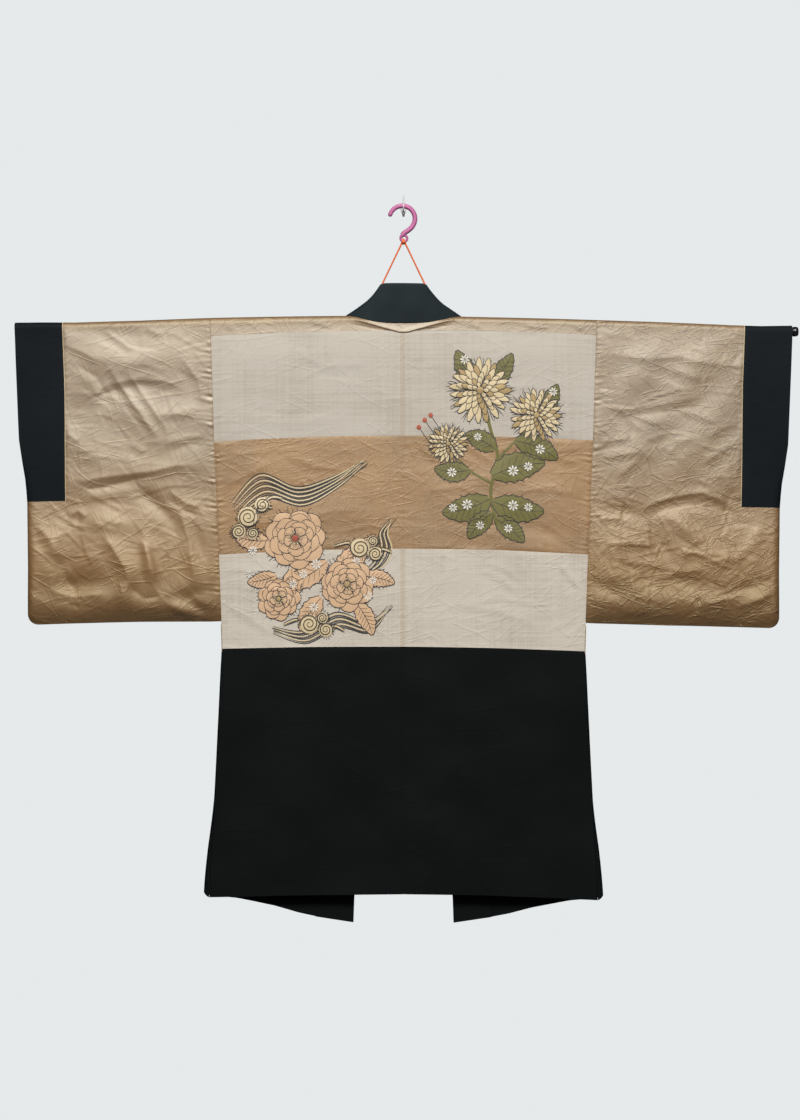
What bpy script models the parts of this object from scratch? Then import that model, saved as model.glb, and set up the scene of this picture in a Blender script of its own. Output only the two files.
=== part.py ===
"""A haori jacket turned inside out and hung from the back on a rod hanger.

The rod runs through both sleeves. An orange cord carries the rod from a plastic hook, and that
hook hangs on a small steel hook fixed to the wall. The viewer looks along +Y at the lining of
the back; the two fronts hang behind it, towards the wall. Metres, +X to the viewer's right,
+Z up, origin on the wall's face behind the plastic hook. Left and right are the viewer's.

Cloth is made from flat grids. Every grid point is placed by its distance out from the centre
line and its depth below the shoulder line, and then the sheet gets its wall.
"""

import math

import bmesh
import bpy
from mathutils import Vector

# ---------------------------------------------------------------- driving dimensions
WALL = 0.002            # lining and outer silk together
COLLAR_WALL = 0.003     # the collar is folded double
SEAM = 0.0003           # gap left between two pieces at a seam
SHOULDER_Z = -0.1778    # the middle of the cloth where it turns over the rod
HANG_Y = -0.024         # plane of the rod, the cord and the plastic hook

ROD_RADIUS = 0.0082
ROD_EASE = 0.0005       # cloth to rod
ROD_LEFT_END = -0.6450
ROD_RIGHT_END = 0.6520
ROD_BOW_LEFT = 0.0127   # how far the rod's ends hang below its middle
ROD_BOW_RIGHT = 0.0170
BOW_REACH = 0.6620
CAP_LENGTH = 0.0170
TURN = ROD_RADIUS + ROD_EASE + WALL / 2     # radius of the cloth's middle over the rod

NECK_HALF = 0.098
TOP_LINE = (0.026, 0.026)       # depths of the back's cross seams: at the centre, at the side
UPPER_LINE = (0.202, 0.207)
MIDDLE_LINE = (0.400, 0.400)
LOWER_LINE = (0.563, 0.563)
BACK_HEM = (0.984, 0.984)
FRONT_FACING = 0.563            # depth at which the fronts' lining gives way to black silk

SLEEVE_DEPTH = 0.515
SLEEVE_CORNER = 0.018           # radius of the rounded lower corner
CUFF_DEPTH = 0.306              # length of the wrist opening
GUSSET_TOP = 0.5195
GUSSET_RISE = 0.008             # how much higher the gusset's fold ends than the hem
GUSSET_TIP = (0.004, 0.0095)    # how far the gusset's fold stands out, top and hem
GUSSET_EASE = 0.0006            # extra room where the gusset turns away from the side seams

LOOSENING = 0.060               # drop over which the cloth leaves the rod's width
SEAM_HOLLOW = 0.0105            # half the distance between back and front along a side seam
BODY_HOLLOW = 0.0130
SLEEVE_HOLLOW = 0.0125
CUFF_HOLLOW = 0.0100
CLOSED_HOLLOW = 0.0014          # where the two lips of the wrist opening come together
EDGE_ROUND = 0.014              # width of the soft roll along a closed edge
WRIST_EASE = 0.086              # length over which the wrist opening narrows to its end

# depth, half width of the body
BODY_EDGE = (
    (0.000, 0.3280), (0.205, 0.3220), (0.400, 0.3135), (0.515, 0.3095), (0.563, 0.3080),
    (0.650, 0.3120), (0.735, 0.3160), (0.816, 0.3200), (0.896, 0.3260), (0.984, 0.3300),
)
# depth, distance of the sleeve's outer edge from the centre
SLEEVE_EDGE = (
    (0.000, 0.6620), (0.130, 0.6570), (0.200, 0.6540), (0.240, 0.6480), (0.265, 0.6440),
    (0.306, 0.6410), (0.420, 0.6395), (0.515, 0.6400),
)
# depth, distance of the black cuff strip's seam from the centre
CUFF_SEAM = ((0.000, 0.5810), (0.100, 0.5770), (0.306, 0.5750), (0.515, 0.5740))

# distance out, depth of the hem of the fronts
FRONT_HEM = (
    (0.083, 1.0310), (0.145, 1.0220), (0.180, 1.0150), (0.220, 1.0040), (0.285, 0.9900),
    (0.330, 0.9840),
)

# The collar, from the middle of the back neck over the shoulder to the front hem.
# seam_out and fold_out are distances from the centre line, seam_over and fold_over are drops
# below the shoulder line: over the rod to the wall side they count up from nought, and on the
# viewer's side they count down. lean is the fold's place behind the rod's plane while the
# collar stands free; from the row where it lies on the front it follows the cloth.
COLLAR = (
    # seam_out, seam_over, fold_out, fold_drop, lean
    (0.000, -0.0100, 0.0000, -0.0550, -0.0085),
    (0.020, -0.0099, 0.0180, -0.0550, -0.0085),
    (0.038, -0.0092, 0.0330, -0.0548, -0.0085),
    (0.052, -0.0076, 0.0390, -0.0530, -0.0080),
    (0.066, -0.0048, 0.0440, -0.0455, -0.0070),
    (0.080, -0.0015, 0.0490, -0.0385, -0.0055),
    (0.090, -0.0003, 0.0570, -0.0280, -0.0030),
    (0.098, 0.0003, 0.0660, -0.0195, 0.0010),
    (0.108, 0.0070, 0.0760, -0.0125, 0.0050),
    (0.121, 0.0220, 0.0880, -0.0050, 0.0095),
    (0.135, 0.0450, 0.0970, 0.0080, 0.0120),
    (0.146, 0.0800, 0.1000, 0.0400, None),
    (0.152, 0.1300, 0.0980, 0.0950, None),
    (0.154, 0.1900, 0.0930, 0.1650, None),
    (0.153, 0.2600, 0.0890, 0.2500, None),
    (0.152, 0.3300, 0.0870, 0.3250, None),
    (0.151, 0.4000, 0.0860, 0.3970, None),
    (0.151, 0.4800, 0.0850, 0.4790, None),
    (0.150, 0.5600, 0.0840, 0.5600, None),
    (0.150, 0.6400, 0.0830, 0.6420, None),
    (0.149, 0.7200, 0.0820, 0.7240, None),
    (0.149, 0.8000, 0.0820, 0.8050, None),
    (0.148, 0.8800, 0.0820, 0.8860, None),
    (0.148, 0.9500, 0.0830, 0.9570, None),
    (0.148, 1.0218, 0.0860, 1.0310, None),
)
COLLAR_STEPS = 3                # quads across the collar
COLLAR_EASE = 0.0022            # the thick collar stands this far off its seam
OVER_ROD_ROWS = range(5, 10)    # the rows between which the seam crosses the rod, in finer parts
OVER_ROD_PARTS = 3
OVER_ROD_LIFT = 0.0016          # how much more the collar stands off where it turns down the wall

# The largest folds. side is -1 for the viewer's side and 1 for the wall's; out and drop give
# the fold's two ends; reach is its half width and height is outward where positive.
FOLD_SPREAD = 1.8               # the soft foot of a fold runs this many half widths out
LEFT_SLEEVE_FOLDS = (
    # side, out_a, drop_a, out_b, drop_b, reach, height
    (-1, 0.560, 0.150, 0.497, 0.122, 0.030, -0.0030),
    (-1, 0.497, 0.122, 0.400, 0.118, 0.030, -0.0032),
    (-1, 0.506, 0.066, 0.414, 0.205, 0.026, 0.0024),
    (-1, 0.574, 0.276, 0.470, 0.262, 0.030, 0.0026),
    (-1, 0.470, 0.262, 0.345, 0.248, 0.028, 0.0020),
    (-1, 0.514, 0.350, 0.470, 0.430, 0.030, 0.0026),
    (-1, 0.582, 0.405, 0.560, 0.455, 0.032, -0.0028),
    (-1, 0.405, 0.375, 0.400, 0.440, 0.032, -0.0028),
    (1, 0.345, 0.070, 0.500, 0.120, 0.032, 0.0024),
    (1, 0.560, 0.180, 0.420, 0.230, 0.032, -0.0028),
    (1, 0.350, 0.330, 0.520, 0.300, 0.032, 0.0026),
    (1, 0.440, 0.380, 0.480, 0.455, 0.032, -0.0026),
)
RIGHT_SLEEVE_FOLDS = (
    # side, out_a, drop_a, out_b, drop_b, reach, height
    (-1, 0.345, 0.056, 0.430, 0.068, 0.028, 0.0022),
    (-1, 0.430, 0.068, 0.560, 0.070, 0.028, 0.0022),
    (-1, 0.350, 0.152, 0.453, 0.142, 0.030, -0.0028),
    (-1, 0.453, 0.142, 0.530, 0.105, 0.030, -0.0026),
    (-1, 0.345, 0.238, 0.500, 0.205, 0.028, 0.0022),
    (-1, 0.400, 0.325, 0.480, 0.298, 0.030, -0.0032),
    (-1, 0.480, 0.298, 0.572, 0.316, 0.030, -0.0032),
    (-1, 0.560, 0.470, 0.610, 0.440, 0.030, 0.0024),
    (-1, 0.380, 0.400, 0.470, 0.430, 0.032, -0.0022),
    (1, 0.360, 0.100, 0.520, 0.080, 0.032, 0.0024),
    (1, 0.540, 0.150, 0.400, 0.210, 0.032, -0.0028),
    (1, 0.360, 0.280, 0.540, 0.340, 0.032, 0.0026),
    (1, 0.520, 0.400, 0.430, 0.450, 0.032, -0.0026),
)
BODY_FOLDS = (
    # side, out_a, drop_a, out_b, drop_b, reach, height; out is negative on the left
    (-1, -0.290, 0.330, -0.090, 0.322, 0.036, 0.0016),
    (-1, 0.060, 0.250, 0.280, 0.235, 0.036, -0.0016),
    (-1, 0.230, 0.640, 0.245, 0.980, 0.050, -0.0022),
    (-1, -0.190, 0.660, -0.180, 0.980, 0.050, -0.0020),
    (1, 0.250, 0.080, 0.225, 0.500, 0.045, 0.0024),
    (1, -0.250, 0.100, -0.215, 0.520, 0.045, 0.0024),
    (1, 0.230, 0.620, 0.235, 0.980, 0.050, -0.0024),
    (1, -0.245, 0.600, -0.240, 0.980, 0.050, 0.0022),
)

# The plastic hook: a bow over the steel hook, then a shank that runs down to its eye.
HOOK_BOW_CENTRE = (-0.0017, -0.0122)
HOOK_BOW_RADIUS = 0.0220
HOOK_TUBE = 0.0035
HOOK_TIP_ANGLE = 167            # degrees, from +X towards +Z
HOOK_TURN_ANGLE = -22
HOOK_SHANK = ((0.0155, -0.0262), (0.0096, -0.0316), (0.0042, -0.0354), (0.0012, -0.0398))
EYE_CENTRE = (0.0007, -0.0461)
EYE_RADIUS = 0.00555
EYE_TUBE = 0.00195

# The cord: a loop round the eye's lowest point, a knot, and a leg to each hole in the rod.
CORD_RADIUS = 0.00135
CORD_SLOPE = 0.478              # run to the side for each metre of drop
CORD_HOLE = 0.0018
LOOP_EASE = 0.0005              # room between the loop and the eye
KNOT_RADIUS = 0.0027
KNOT_DROP = 0.0047              # knot below the middle of the eye's tube

# The steel hook: a strip on the wall, a peg that rises a little, and two wire braces.
STRIP_HALF_WIDTH = 0.0016
STRIP_THICKNESS = 0.0012
STRIP_TOP = 0.034
STRIP_FOOT = -0.011
PEG_RADIUS = 0.0018
PEG_REACH = 0.0300
PEG_RISE = 0.0012
BRACE_RADIUS = 0.0009
BRACE_HALF_SPAN = 0.0043
BRACE_FOOT = -0.0085
BALL_RADIUS = 0.0021

# ---------------------------------------------------------------- colours
# red, green, blue, roughness, metallic
COLOURS = {
    "satin": (0.41, 0.28, 0.155, 0.40, 0.0),
    "pale_weave": (0.60, 0.55, 0.47, 0.75, 0.0),
    "brown_satin": (0.38, 0.25, 0.14, 0.45, 0.0),
    "black_silk": (0.010, 0.012, 0.013, 0.75, 0.0),
    "cord_orange": (0.80, 0.12, 0.02, 0.65, 0.0),
    "hook_plastic": (0.50, 0.06, 0.30, 0.25, 0.0),
    "rod_plastic": (0.010, 0.012, 0.018, 0.25, 0.0),
    "steel": (0.60, 0.60, 0.58, 0.30, 1.0),
}


def material(name):
    """The named colour as a material, made once."""
    made = bpy.data.materials.get(name)
    if made is None:
        red, green, blue, roughness, metallic = COLOURS[name]
        made = bpy.data.materials.new(name)
        made.use_nodes = True
        shader = made.node_tree.nodes["Principled BSDF"]
        shader.inputs["Base Color"].default_value = (red, green, blue, 1.0)
        shader.inputs["Roughness"].default_value = roughness
        shader.inputs["Metallic"].default_value = metallic
    return made


# ---------------------------------------------------------------- helpers for sizes
def mix(a, b, share):
    return a + (b - a) * share


def ease(share):
    """0 to 1 with a soft start and end."""
    share = min(max(share, 0.0), 1.0)
    return share * share * (3.0 - 2.0 * share)


def read(rows, at):
    """Second column of a two-column table at a value of its first."""
    for (low, below), (high, above) in zip(rows, rows[1:]):
        if at <= high:
            return mix(below, above, max(at - low, 0.0) / (high - low))
    return rows[-1][1]


def steps(start, end, count):
    """count + 1 values from start to end."""
    return [mix(start, end, i / count) for i in range(count + 1)]


def turn_steps(count):
    """Drops from the top of the rod to its side, evenly spaced round the turn."""
    return [TURN * (1.0 - math.cos(math.pi / 2 * i / count)) for i in range(count + 1)]


def bow(out):
    """How far the rod hangs below its middle at a distance to the right."""
    depth = ROD_BOW_RIGHT if out > 0 else ROD_BOW_LEFT
    return depth * (out / BOW_REACH) ** 2


def rod_z(out):
    return SHOULDER_Z - TURN - bow(out)


# ---------------------------------------------------------------- form of the cloth
def fold_height(folds, side, out, drop):
    """Height of the strongest fold at a place on one side of the garment."""
    strongest = 0.0
    for fold_side, out_a, drop_a, out_b, drop_b, reach, height in folds:
        if fold_side != side:
            continue
        run, fall = out_b - out_a, drop_b - drop_a
        along = ((out - out_a) * run + (drop - drop_a) * fall) / (run * run + fall * fall)
        along = min(max(along, 0.0), 1.0)
        away = math.hypot(out - out_a - run * along, drop - drop_a - fall * along)
        here = height * ease(1.0 - away / (FOLD_SPREAD * reach))
        if abs(here) > abs(strongest):
            strongest = here
    return strongest


def leave_rod(depth, hollow):
    """Half the distance between the two sides: round the rod, then opening to the hollow."""
    if depth < TURN:
        return math.sqrt(max(depth * (2.0 * TURN - depth), 0.0))
    return mix(TURN, hollow, ease((depth - TURN) / LOOSENING))


def roll(distance):
    """Share of the hollow that is left near a closed edge."""
    inward = 1.0 - min(max(distance / EDGE_ROUND, 0.0), 1.0)
    return math.sqrt(max(1.0 - inward * inward, 0.0))


def body_gap(out, depth, side):
    """Distance of the body's cloth from the rod's plane."""
    inward = read(BODY_EDGE, depth) - abs(out)
    hollow = mix(SEAM_HOLLOW, BODY_HOLLOW, ease(inward / LOOSENING))
    calm = ease(inward / 0.040) * ease((depth - TURN) / LOOSENING)
    return leave_rod(depth, hollow) + calm * fold_height(BODY_FOLDS, side, out, depth)


def sleeve_gap(out, depth, side, folds):
    """Distance of the sleeve's cloth from the rod's plane; out is from the centre line."""
    inner = read(BODY_EDGE, depth)
    cuff = read(CUFF_SEAM, depth)
    outward = out - inner
    hollow = mix(SEAM_HOLLOW, SLEEVE_HOLLOW, ease(outward / LOOSENING))
    hollow = mix(hollow, CUFF_HOLLOW, ease((out - cuff + LOOSENING) / LOOSENING))
    calm = ease(outward / 0.040) * ease((depth - TURN) / LOOSENING)
    calm *= ease((cuff + 0.040 - out) / 0.060)
    return leave_rod(depth, hollow) + calm * fold_height(folds, side, out, depth)


def sleeve_edge(depth):
    """Outer edge of the sleeve with its rounded lower corner."""
    edge = read(SLEEVE_EDGE, depth)
    below = depth - (SLEEVE_DEPTH - SLEEVE_CORNER)
    if below > 0:
        edge -= SLEEVE_CORNER - math.sqrt(max(SLEEVE_CORNER**2 - below**2, 0.0))
    return edge


def cross_line(line, share):
    """Depth of a cross seam at a share of the way from the centre to the side."""
    return mix(line[0], line[1], share * share)


def cloth_point(out, depth, away):
    """A point of the garment; away is its distance from the rod's plane, towards the wall."""
    return Vector((out, HANG_Y + away, SHOULDER_Z - bow(out) - depth))


# ---------------------------------------------------------------- helpers for solids
def add_object(name, data, colour):
    obj = bpy.data.objects.new(name, data)
    bpy.context.scene.collection.objects.link(obj)
    data.materials.append(material(colour))
    return obj


def sheet(name, across, along, place, colour, wall=WALL, cut_away=None):
    """A closed cloth wall: a grid of across by along points, placed, welded and given its wall.

    place(across value, along value) gives a point. cut_away(column, row) is true for the cells
    that the piece doesn't have.
    """
    columns, rows = len(across) - 1, len(along) - 1
    bm = bmesh.new()
    bmesh.ops.create_grid(bm, x_segments=columns, y_segments=rows, size=0.5)
    if cut_away:
        gone = []
        for face in bm.faces:
            centre = face.calc_center_median()
            column = int((centre.x + 0.5) * columns)
            row = int((centre.y + 0.5) * rows)
            if cut_away(column, row):
                gone.append(face)
        bmesh.ops.delete(bm, geom=gone, context="FACES")
    for vert in bm.verts:
        column = round((vert.co.x + 0.5) * columns)
        row = round((vert.co.y + 0.5) * rows)
        vert.co = place(across[column], along[row])
    bmesh.ops.remove_doubles(bm, verts=bm.verts, dist=0.00001)
    mesh = bpy.data.meshes.new(name)
    bm.to_mesh(mesh)
    bm.free()
    obj = add_object(name, mesh, colour)
    thick = obj.modifiers.new("wall", "SOLIDIFY")
    thick.thickness = wall
    thick.offset = 0.0
    return obj


def tube_mesh(name, points, radius, sides, closed=False, swell=None):
    """A round bar along points. swell gives each point's share of the radius."""
    curve = bpy.data.curves.new(name, "CURVE")
    curve.dimensions = "3D"
    curve.bevel_depth = radius
    curve.bevel_resolution = sides // 4 - 1
    curve.use_fill_caps = True
    spline = curve.splines.new("POLY")
    spline.points.add(len(points) - 1)
    for i, point in enumerate(points):
        spline.points[i].co = (*point, 1.0)
        spline.points[i].radius = swell[i] if swell else 1.0
    spline.use_cyclic_u = closed
    guide = bpy.data.objects.new(name, curve)
    bpy.context.scene.collection.objects.link(guide)
    mesh = bpy.data.meshes.new_from_object(guide.evaluated_get(bpy.context.evaluated_depsgraph_get()))
    bpy.data.objects.remove(guide)
    mesh.name = name
    bm = bmesh.new()
    bm.from_mesh(mesh)
    bmesh.ops.remove_doubles(bm, verts=bm.verts, dist=0.000001)
    bmesh.ops.recalc_face_normals(bm, faces=bm.faces)
    bm.to_mesh(mesh)
    bm.free()
    return mesh


def ball_mesh(name, centre, radius, segments=12, rings=8):
    bm = bmesh.new()
    bmesh.ops.create_uvsphere(bm, u_segments=segments, v_segments=rings, radius=radius)
    bmesh.ops.translate(bm, verts=bm.verts, vec=centre)
    mesh = bpy.data.meshes.new(name)
    bm.to_mesh(mesh)
    bm.free()
    return mesh


def joined(name, meshes, colour, operation="UNION"):
    """The first mesh with the others joined to it, or cut from it, as one solid."""
    obj = add_object(name, meshes[0], colour)
    for number, mesh in enumerate(meshes[1:]):
        guide = add_object(f"{name}_guide_{number}", mesh, colour)
        guide.hide_render = True
        guide.display_type = "WIRE"
        step = obj.modifiers.new(f"join_{number}", "BOOLEAN")
        step.operation = operation
        step.object = guide
    return obj


def smooth_path(points, between):
    """A curve through all the points, with between - 1 new points in each stretch."""
    held = [points[0], *points, points[-1]]
    path = []
    for a, b, c, d in zip(held, held[1:], held[2:], held[3:]):
        for i in range(between):
            t = i / between
            path.append(
                0.5 * ((2 * b) + (c - a) * t + (2 * a - 5 * b + 4 * c - d) * t**2
                       + (3 * b - a - 3 * c + d) * t**3)
            )
    path.append(points[-1])
    return path


# ---------------------------------------------------------------- back
def back_panel(name, side, upper, lower, rows, colour):
    """One half of a band of the back, between two cross seams."""

    def place(share, down):
        depth = mix(cross_line(upper, share) + SEAM / 2, cross_line(lower, share) - SEAM / 2, down)
        out = side * mix(SEAM / 2, read(BODY_EDGE, depth) - SEAM / 2, share)
        return cloth_point(out, depth, -body_gap(out, depth, -1))

    sheet(name, steps(0, 1, 8), steps(0, 1, rows), place, colour)


def build_back():
    for word, side in (("left", -1), ("right", 1)):
        back_panel(f"back_upper_{word}", side, TOP_LINE, UPPER_LINE, 5, "pale_weave")
        back_panel(f"back_middle_{word}", side, UPPER_LINE, MIDDLE_LINE, 6, "brown_satin")
        back_panel(f"back_lower_{word}", side, MIDDLE_LINE, LOWER_LINE, 4, "pale_weave")
        back_panel(f"back_hem_{word}", side, LOWER_LINE, BACK_HEM, 10, "black_silk")


# ---------------------------------------------------------------- fronts
def neck_depth(out):
    """Depth of the back neck seam on the viewer's side."""
    return read([(row[0], max(-row[1], 0.0)) for row in COLLAR], out)


def collar_seam(depth):
    """Distance of the collar seam from the centre on the wall's side."""
    return read([(row[1], row[0]) for row in COLLAR if row[1] >= 0], depth)


def seam_drops(above, below):
    """The collar table's own drops between two depths, so that both sides of the seam agree."""
    return [above, *(row[1] for row in COLLAR if above + SEAM < row[1] < below - 4 * SEAM), below]


def build_front_lining(word, side):
    """The front's lining, carried over the rod as a short strip above the back's first band."""
    neck_shares = (-1, -0.72, -0.46, -0.28, -0.16, -0.08)
    neck_columns = len(neck_shares)
    strip_rows = 5
    turn = turn_steps(4)
    across = [*neck_shares, *steps(0, 1, 7)]
    over = [-(TOP_LINE[0] - SEAM / 2)] + [-drop for drop in reversed(turn)]
    over += turn[1:] + seam_drops(TURN, FRONT_FACING - SEAM / 2)[1:]

    def place(share, drop):
        if share < 0:                      # the narrow strip under the back neck
            out = mix(SEAM / 2, NECK_HALF, share + 1)
            foot = TOP_LINE[0] - SEAM / 2
            depth = mix(neck_depth(out) + SEAM, foot, min(-drop / foot, 1.0))
            return cloth_point(side * out, depth, -body_gap(out, depth, -1))
        depth = abs(drop)
        inner = NECK_HALF if drop <= 0 else collar_seam(depth) + SEAM
        out = mix(inner, read(BODY_EDGE, depth) - SEAM / 2, share)
        wall_side = 1 if drop > 0 else -1
        return cloth_point(side * out, depth, wall_side * body_gap(side * out, depth, wall_side))

    def cut_away(column, row):
        return column < neck_columns and row >= strip_rows

    sheet(f"front_lining_{word}", across, over, place, "satin", cut_away=cut_away)


def build_front_hem(word, side):
    """The black lower half of the front; its hem drops towards the collar."""
    top, foot = FRONT_FACING + SEAM / 2, COLLAR[-1][1]

    def place(share, drop):
        inner = collar_seam(drop) + SEAM
        out = mix(inner, read(BODY_EDGE, drop) - SEAM / 2, share)
        depth = drop - (foot - read(FRONT_HEM, out)) * (drop - top) / (foot - top)
        out = mix(inner, read(BODY_EDGE, depth) - SEAM / 2, share)
        return cloth_point(side * out, depth, body_gap(side * out, depth, 1))

    sheet(f"front_hem_{word}", steps(0, 1, 6), seam_drops(top, foot), place, "black_silk")


# ---------------------------------------------------------------- gussets, sleeves and cuffs
def build_gusset(word, side):
    """The side gusset, folded outwards along its middle."""
    foot = BACK_HEM[1]

    def place(angle, down):
        depth = mix(GUSSET_TOP, foot - GUSSET_RISE * math.cos(angle), down)
        stand = mix(*GUSSET_TIP, down) * max(math.cos(angle), 0.0) ** 0.7
        out = read(BODY_EDGE, depth) + SEAM / 2 + GUSSET_EASE + stand
        return cloth_point(side * out, depth, SEAM_HOLLOW * math.sin(angle))

    around = steps(-math.pi / 2, math.pi / 2, 6)
    sheet(f"gusset_{word}", around, steps(0, 1, 9), place, "black_silk")


def wrist_gap(out, depth, hollow):
    """The sleeve's hollow near its outer edge: open above, closing where the opening ends."""
    shut = ease((depth - CUFF_DEPTH + WRIST_EASE) / WRIST_EASE)
    return hollow * mix(1.0, roll(sleeve_edge(depth) - out), shut)


def build_sleeve(word, side, folds):
    """The satin sleeve: a flat tube round the rod, notched above for the cuff strip."""
    panel_columns = 8
    from_edge = (0.038, EDGE_ROUND, 0.006, 0.002, 0.0)
    across = steps(0, 1, panel_columns) + [2.0 + i for i in range(len(from_edge))]
    turn = turn_steps(4)
    opening = steps(TURN, CUFF_DEPTH + SEAM / 2, 9)
    lower = steps(CUFF_DEPTH + SEAM / 2, SLEEVE_DEPTH - EDGE_ROUND, 6)
    foot = [SLEEVE_DEPTH - rise for rise in (0.0075, 0.0025, 0.0)]
    depths = turn + opening[1:] + lower[1:] + foot
    over = [-depth for depth in reversed(depths)] + depths[1:]
    notch = len(lower) - 1 + len(foot)

    def place(share, drop):
        depth = abs(drop)
        cuff = read(CUFF_SEAM, depth) - SEAM / 2
        edge = sleeve_edge(depth)
        if share <= 1:
            out = mix(read(BODY_EDGE, depth) + SEAM / 2, min(cuff, edge), share)
        else:
            out = edge - from_edge[int(share - 2)]
        wall_side = 1 if drop > 0 else -1
        gap = sleeve_gap(out, depth, wall_side, folds) * roll(SLEEVE_DEPTH - depth)
        return cloth_point(side * out, depth, wall_side * wrist_gap(out, depth, gap))

    def cut_away(column, row):
        return column >= panel_columns and notch <= row < len(over) - 1 - notch

    sheet(f"sleeve_{word}", across, over, place, "satin", cut_away=cut_away)


def build_cuff(word, side):
    """The black strip round the wrist opening, folded over the rod."""
    turn = turn_steps(4)
    depths = turn + steps(TURN, CUFF_DEPTH - SEAM / 2, 9)[1:]
    over = [-depth for depth in reversed(depths)] + depths[1:]

    def place(share, drop):
        depth = abs(drop)
        out = mix(read(CUFF_SEAM, depth) + SEAM / 2, sleeve_edge(depth), share)
        gap = wrist_gap(out, depth, sleeve_gap(out, depth, 1, ()))
        gap = max(gap, CLOSED_HOLLOW) if depth > TURN else gap
        return cloth_point(side * out, depth, math.copysign(gap, drop))

    sheet(f"cuff_{word}", (0, 0.42, 0.78, 0.93, 1), over, place, "black_silk")


# ---------------------------------------------------------------- collar
def build_collar():
    """The folded collar: standing at the back neck, lying on the fronts below."""

    def ends(row, side):
        seam_out, seam_over, fold_out, fold_drop, lean = row
        wall_side = 1 if seam_over > 0 else -1
        depth = abs(seam_over)
        lift = (COLLAR_WALL - WALL) / 2 + SEAM
        if wall_side > 0:
            lift += OVER_ROD_LIFT * ease(1.0 - abs(depth - TURN) / (2 * TURN))
        away = wall_side * (body_gap(side * seam_out, depth, wall_side) + lift)
        seam = cloth_point(side * seam_out, depth, away)
        seam.z += 0.0012 * ease(1.0 - depth / 0.010)
        if lean is None:
            lean = body_gap(side * fold_out, fold_drop, 1) + lift
        fold = cloth_point(side * fold_out, fold_drop, lean)
        return seam, fold

    rows = []
    for number, (row, after) in enumerate(zip(COLLAR, COLLAR[1:])):
        parts = OVER_ROD_PARTS if number in OVER_ROD_ROWS else 1
        for i in range(parts):
            rows.append([mix(a, b, i / parts) if i else a for a, b in zip(row, after)])
    rows.append(COLLAR[-1])
    stations = [(row, -1) for row in reversed(rows)] + [(row, 1) for row in rows[1:]]

    def place(share, station):
        seam, fold = ends(*stations[station])
        start = COLLAR_EASE / (fold - seam).length
        return seam.lerp(fold, mix(start, 1.0, share))

    sheet("collar", steps(0, 1, COLLAR_STEPS), range(len(stations)), place, "black_silk", COLLAR_WALL)


# ---------------------------------------------------------------- rod, cord and hooks
def leg_point(side, z):
    """A point of the cord's straight leg at a height."""
    knot_z = EYE_CENTRE[1] - EYE_RADIUS - KNOT_DROP
    return Vector((side * CORD_SLOPE * (knot_z - z), HANG_Y, z))


def build_rod():
    """The bowed rod, drilled for the two legs of the cord, and its two end caps."""
    outs = steps(ROD_LEFT_END, ROD_RIGHT_END, 16)
    bar = tube_mesh("hanger_rod", [(out, HANG_Y, rod_z(out)) for out in outs], ROD_RADIUS, 16)
    holes = []
    for side in (-1, 1):
        ends = [leg_point(side, rod_z(0) + rise) for rise in (0.015, -0.015)]
        holes.append(tube_mesh("hole", ends, CORD_HOLE, 8))
    joined("hanger_rod", [bar, *holes], "rod_plastic", "DIFFERENCE")

    for word, end, side in (("left", ROD_LEFT_END, -1), ("right", ROD_RIGHT_END, 1)):
        slope = (rod_z(end) - rod_z(end - side * 0.01)) / 0.01
        lengths = (SEAM, 0.0120, 0.0152, CAP_LENGTH)
        points = [(end + side * run, HANG_Y, rod_z(end) + slope * run) for run in lengths]
        cap = tube_mesh(f"rod_cap_{word}", points, ROD_RADIUS, 16, swell=(1, 1, 0.86, 0.50))
        add_object(f"rod_cap_{word}", cap, "rod_plastic")


def build_cord():
    """The orange cord: a loop round the hook's eye, a knot and two legs."""
    loop_centre = Vector((EYE_CENTRE[0], HANG_Y, EYE_CENTRE[1] - EYE_RADIUS))
    loop_radius = EYE_TUBE + CORD_RADIUS + LOOP_EASE
    loop = []
    for angle in steps(0, 2 * math.pi, 16)[:-1]:
        loop.append(loop_centre + loop_radius * Vector((0, math.cos(angle), math.sin(angle))))
    knot = Vector((0, HANG_Y, loop_centre.z - KNOT_DROP))
    under = rod_z(0) - ROD_RADIUS - SEAM - KNOT_RADIUS
    meshes = [tube_mesh("cord_loop", loop, CORD_RADIUS, 8, closed=True)]
    meshes.append(ball_mesh("cord_knot", knot, KNOT_RADIUS))
    for side in (-1, 1):
        ends = [knot, leg_point(side, under)]
        meshes.append(tube_mesh("cord_leg", ends, CORD_RADIUS, 8))
        meshes.append(ball_mesh("cord_end", ends[1], KNOT_RADIUS))
    joined("hanger_cord", meshes, "cord_orange")


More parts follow.
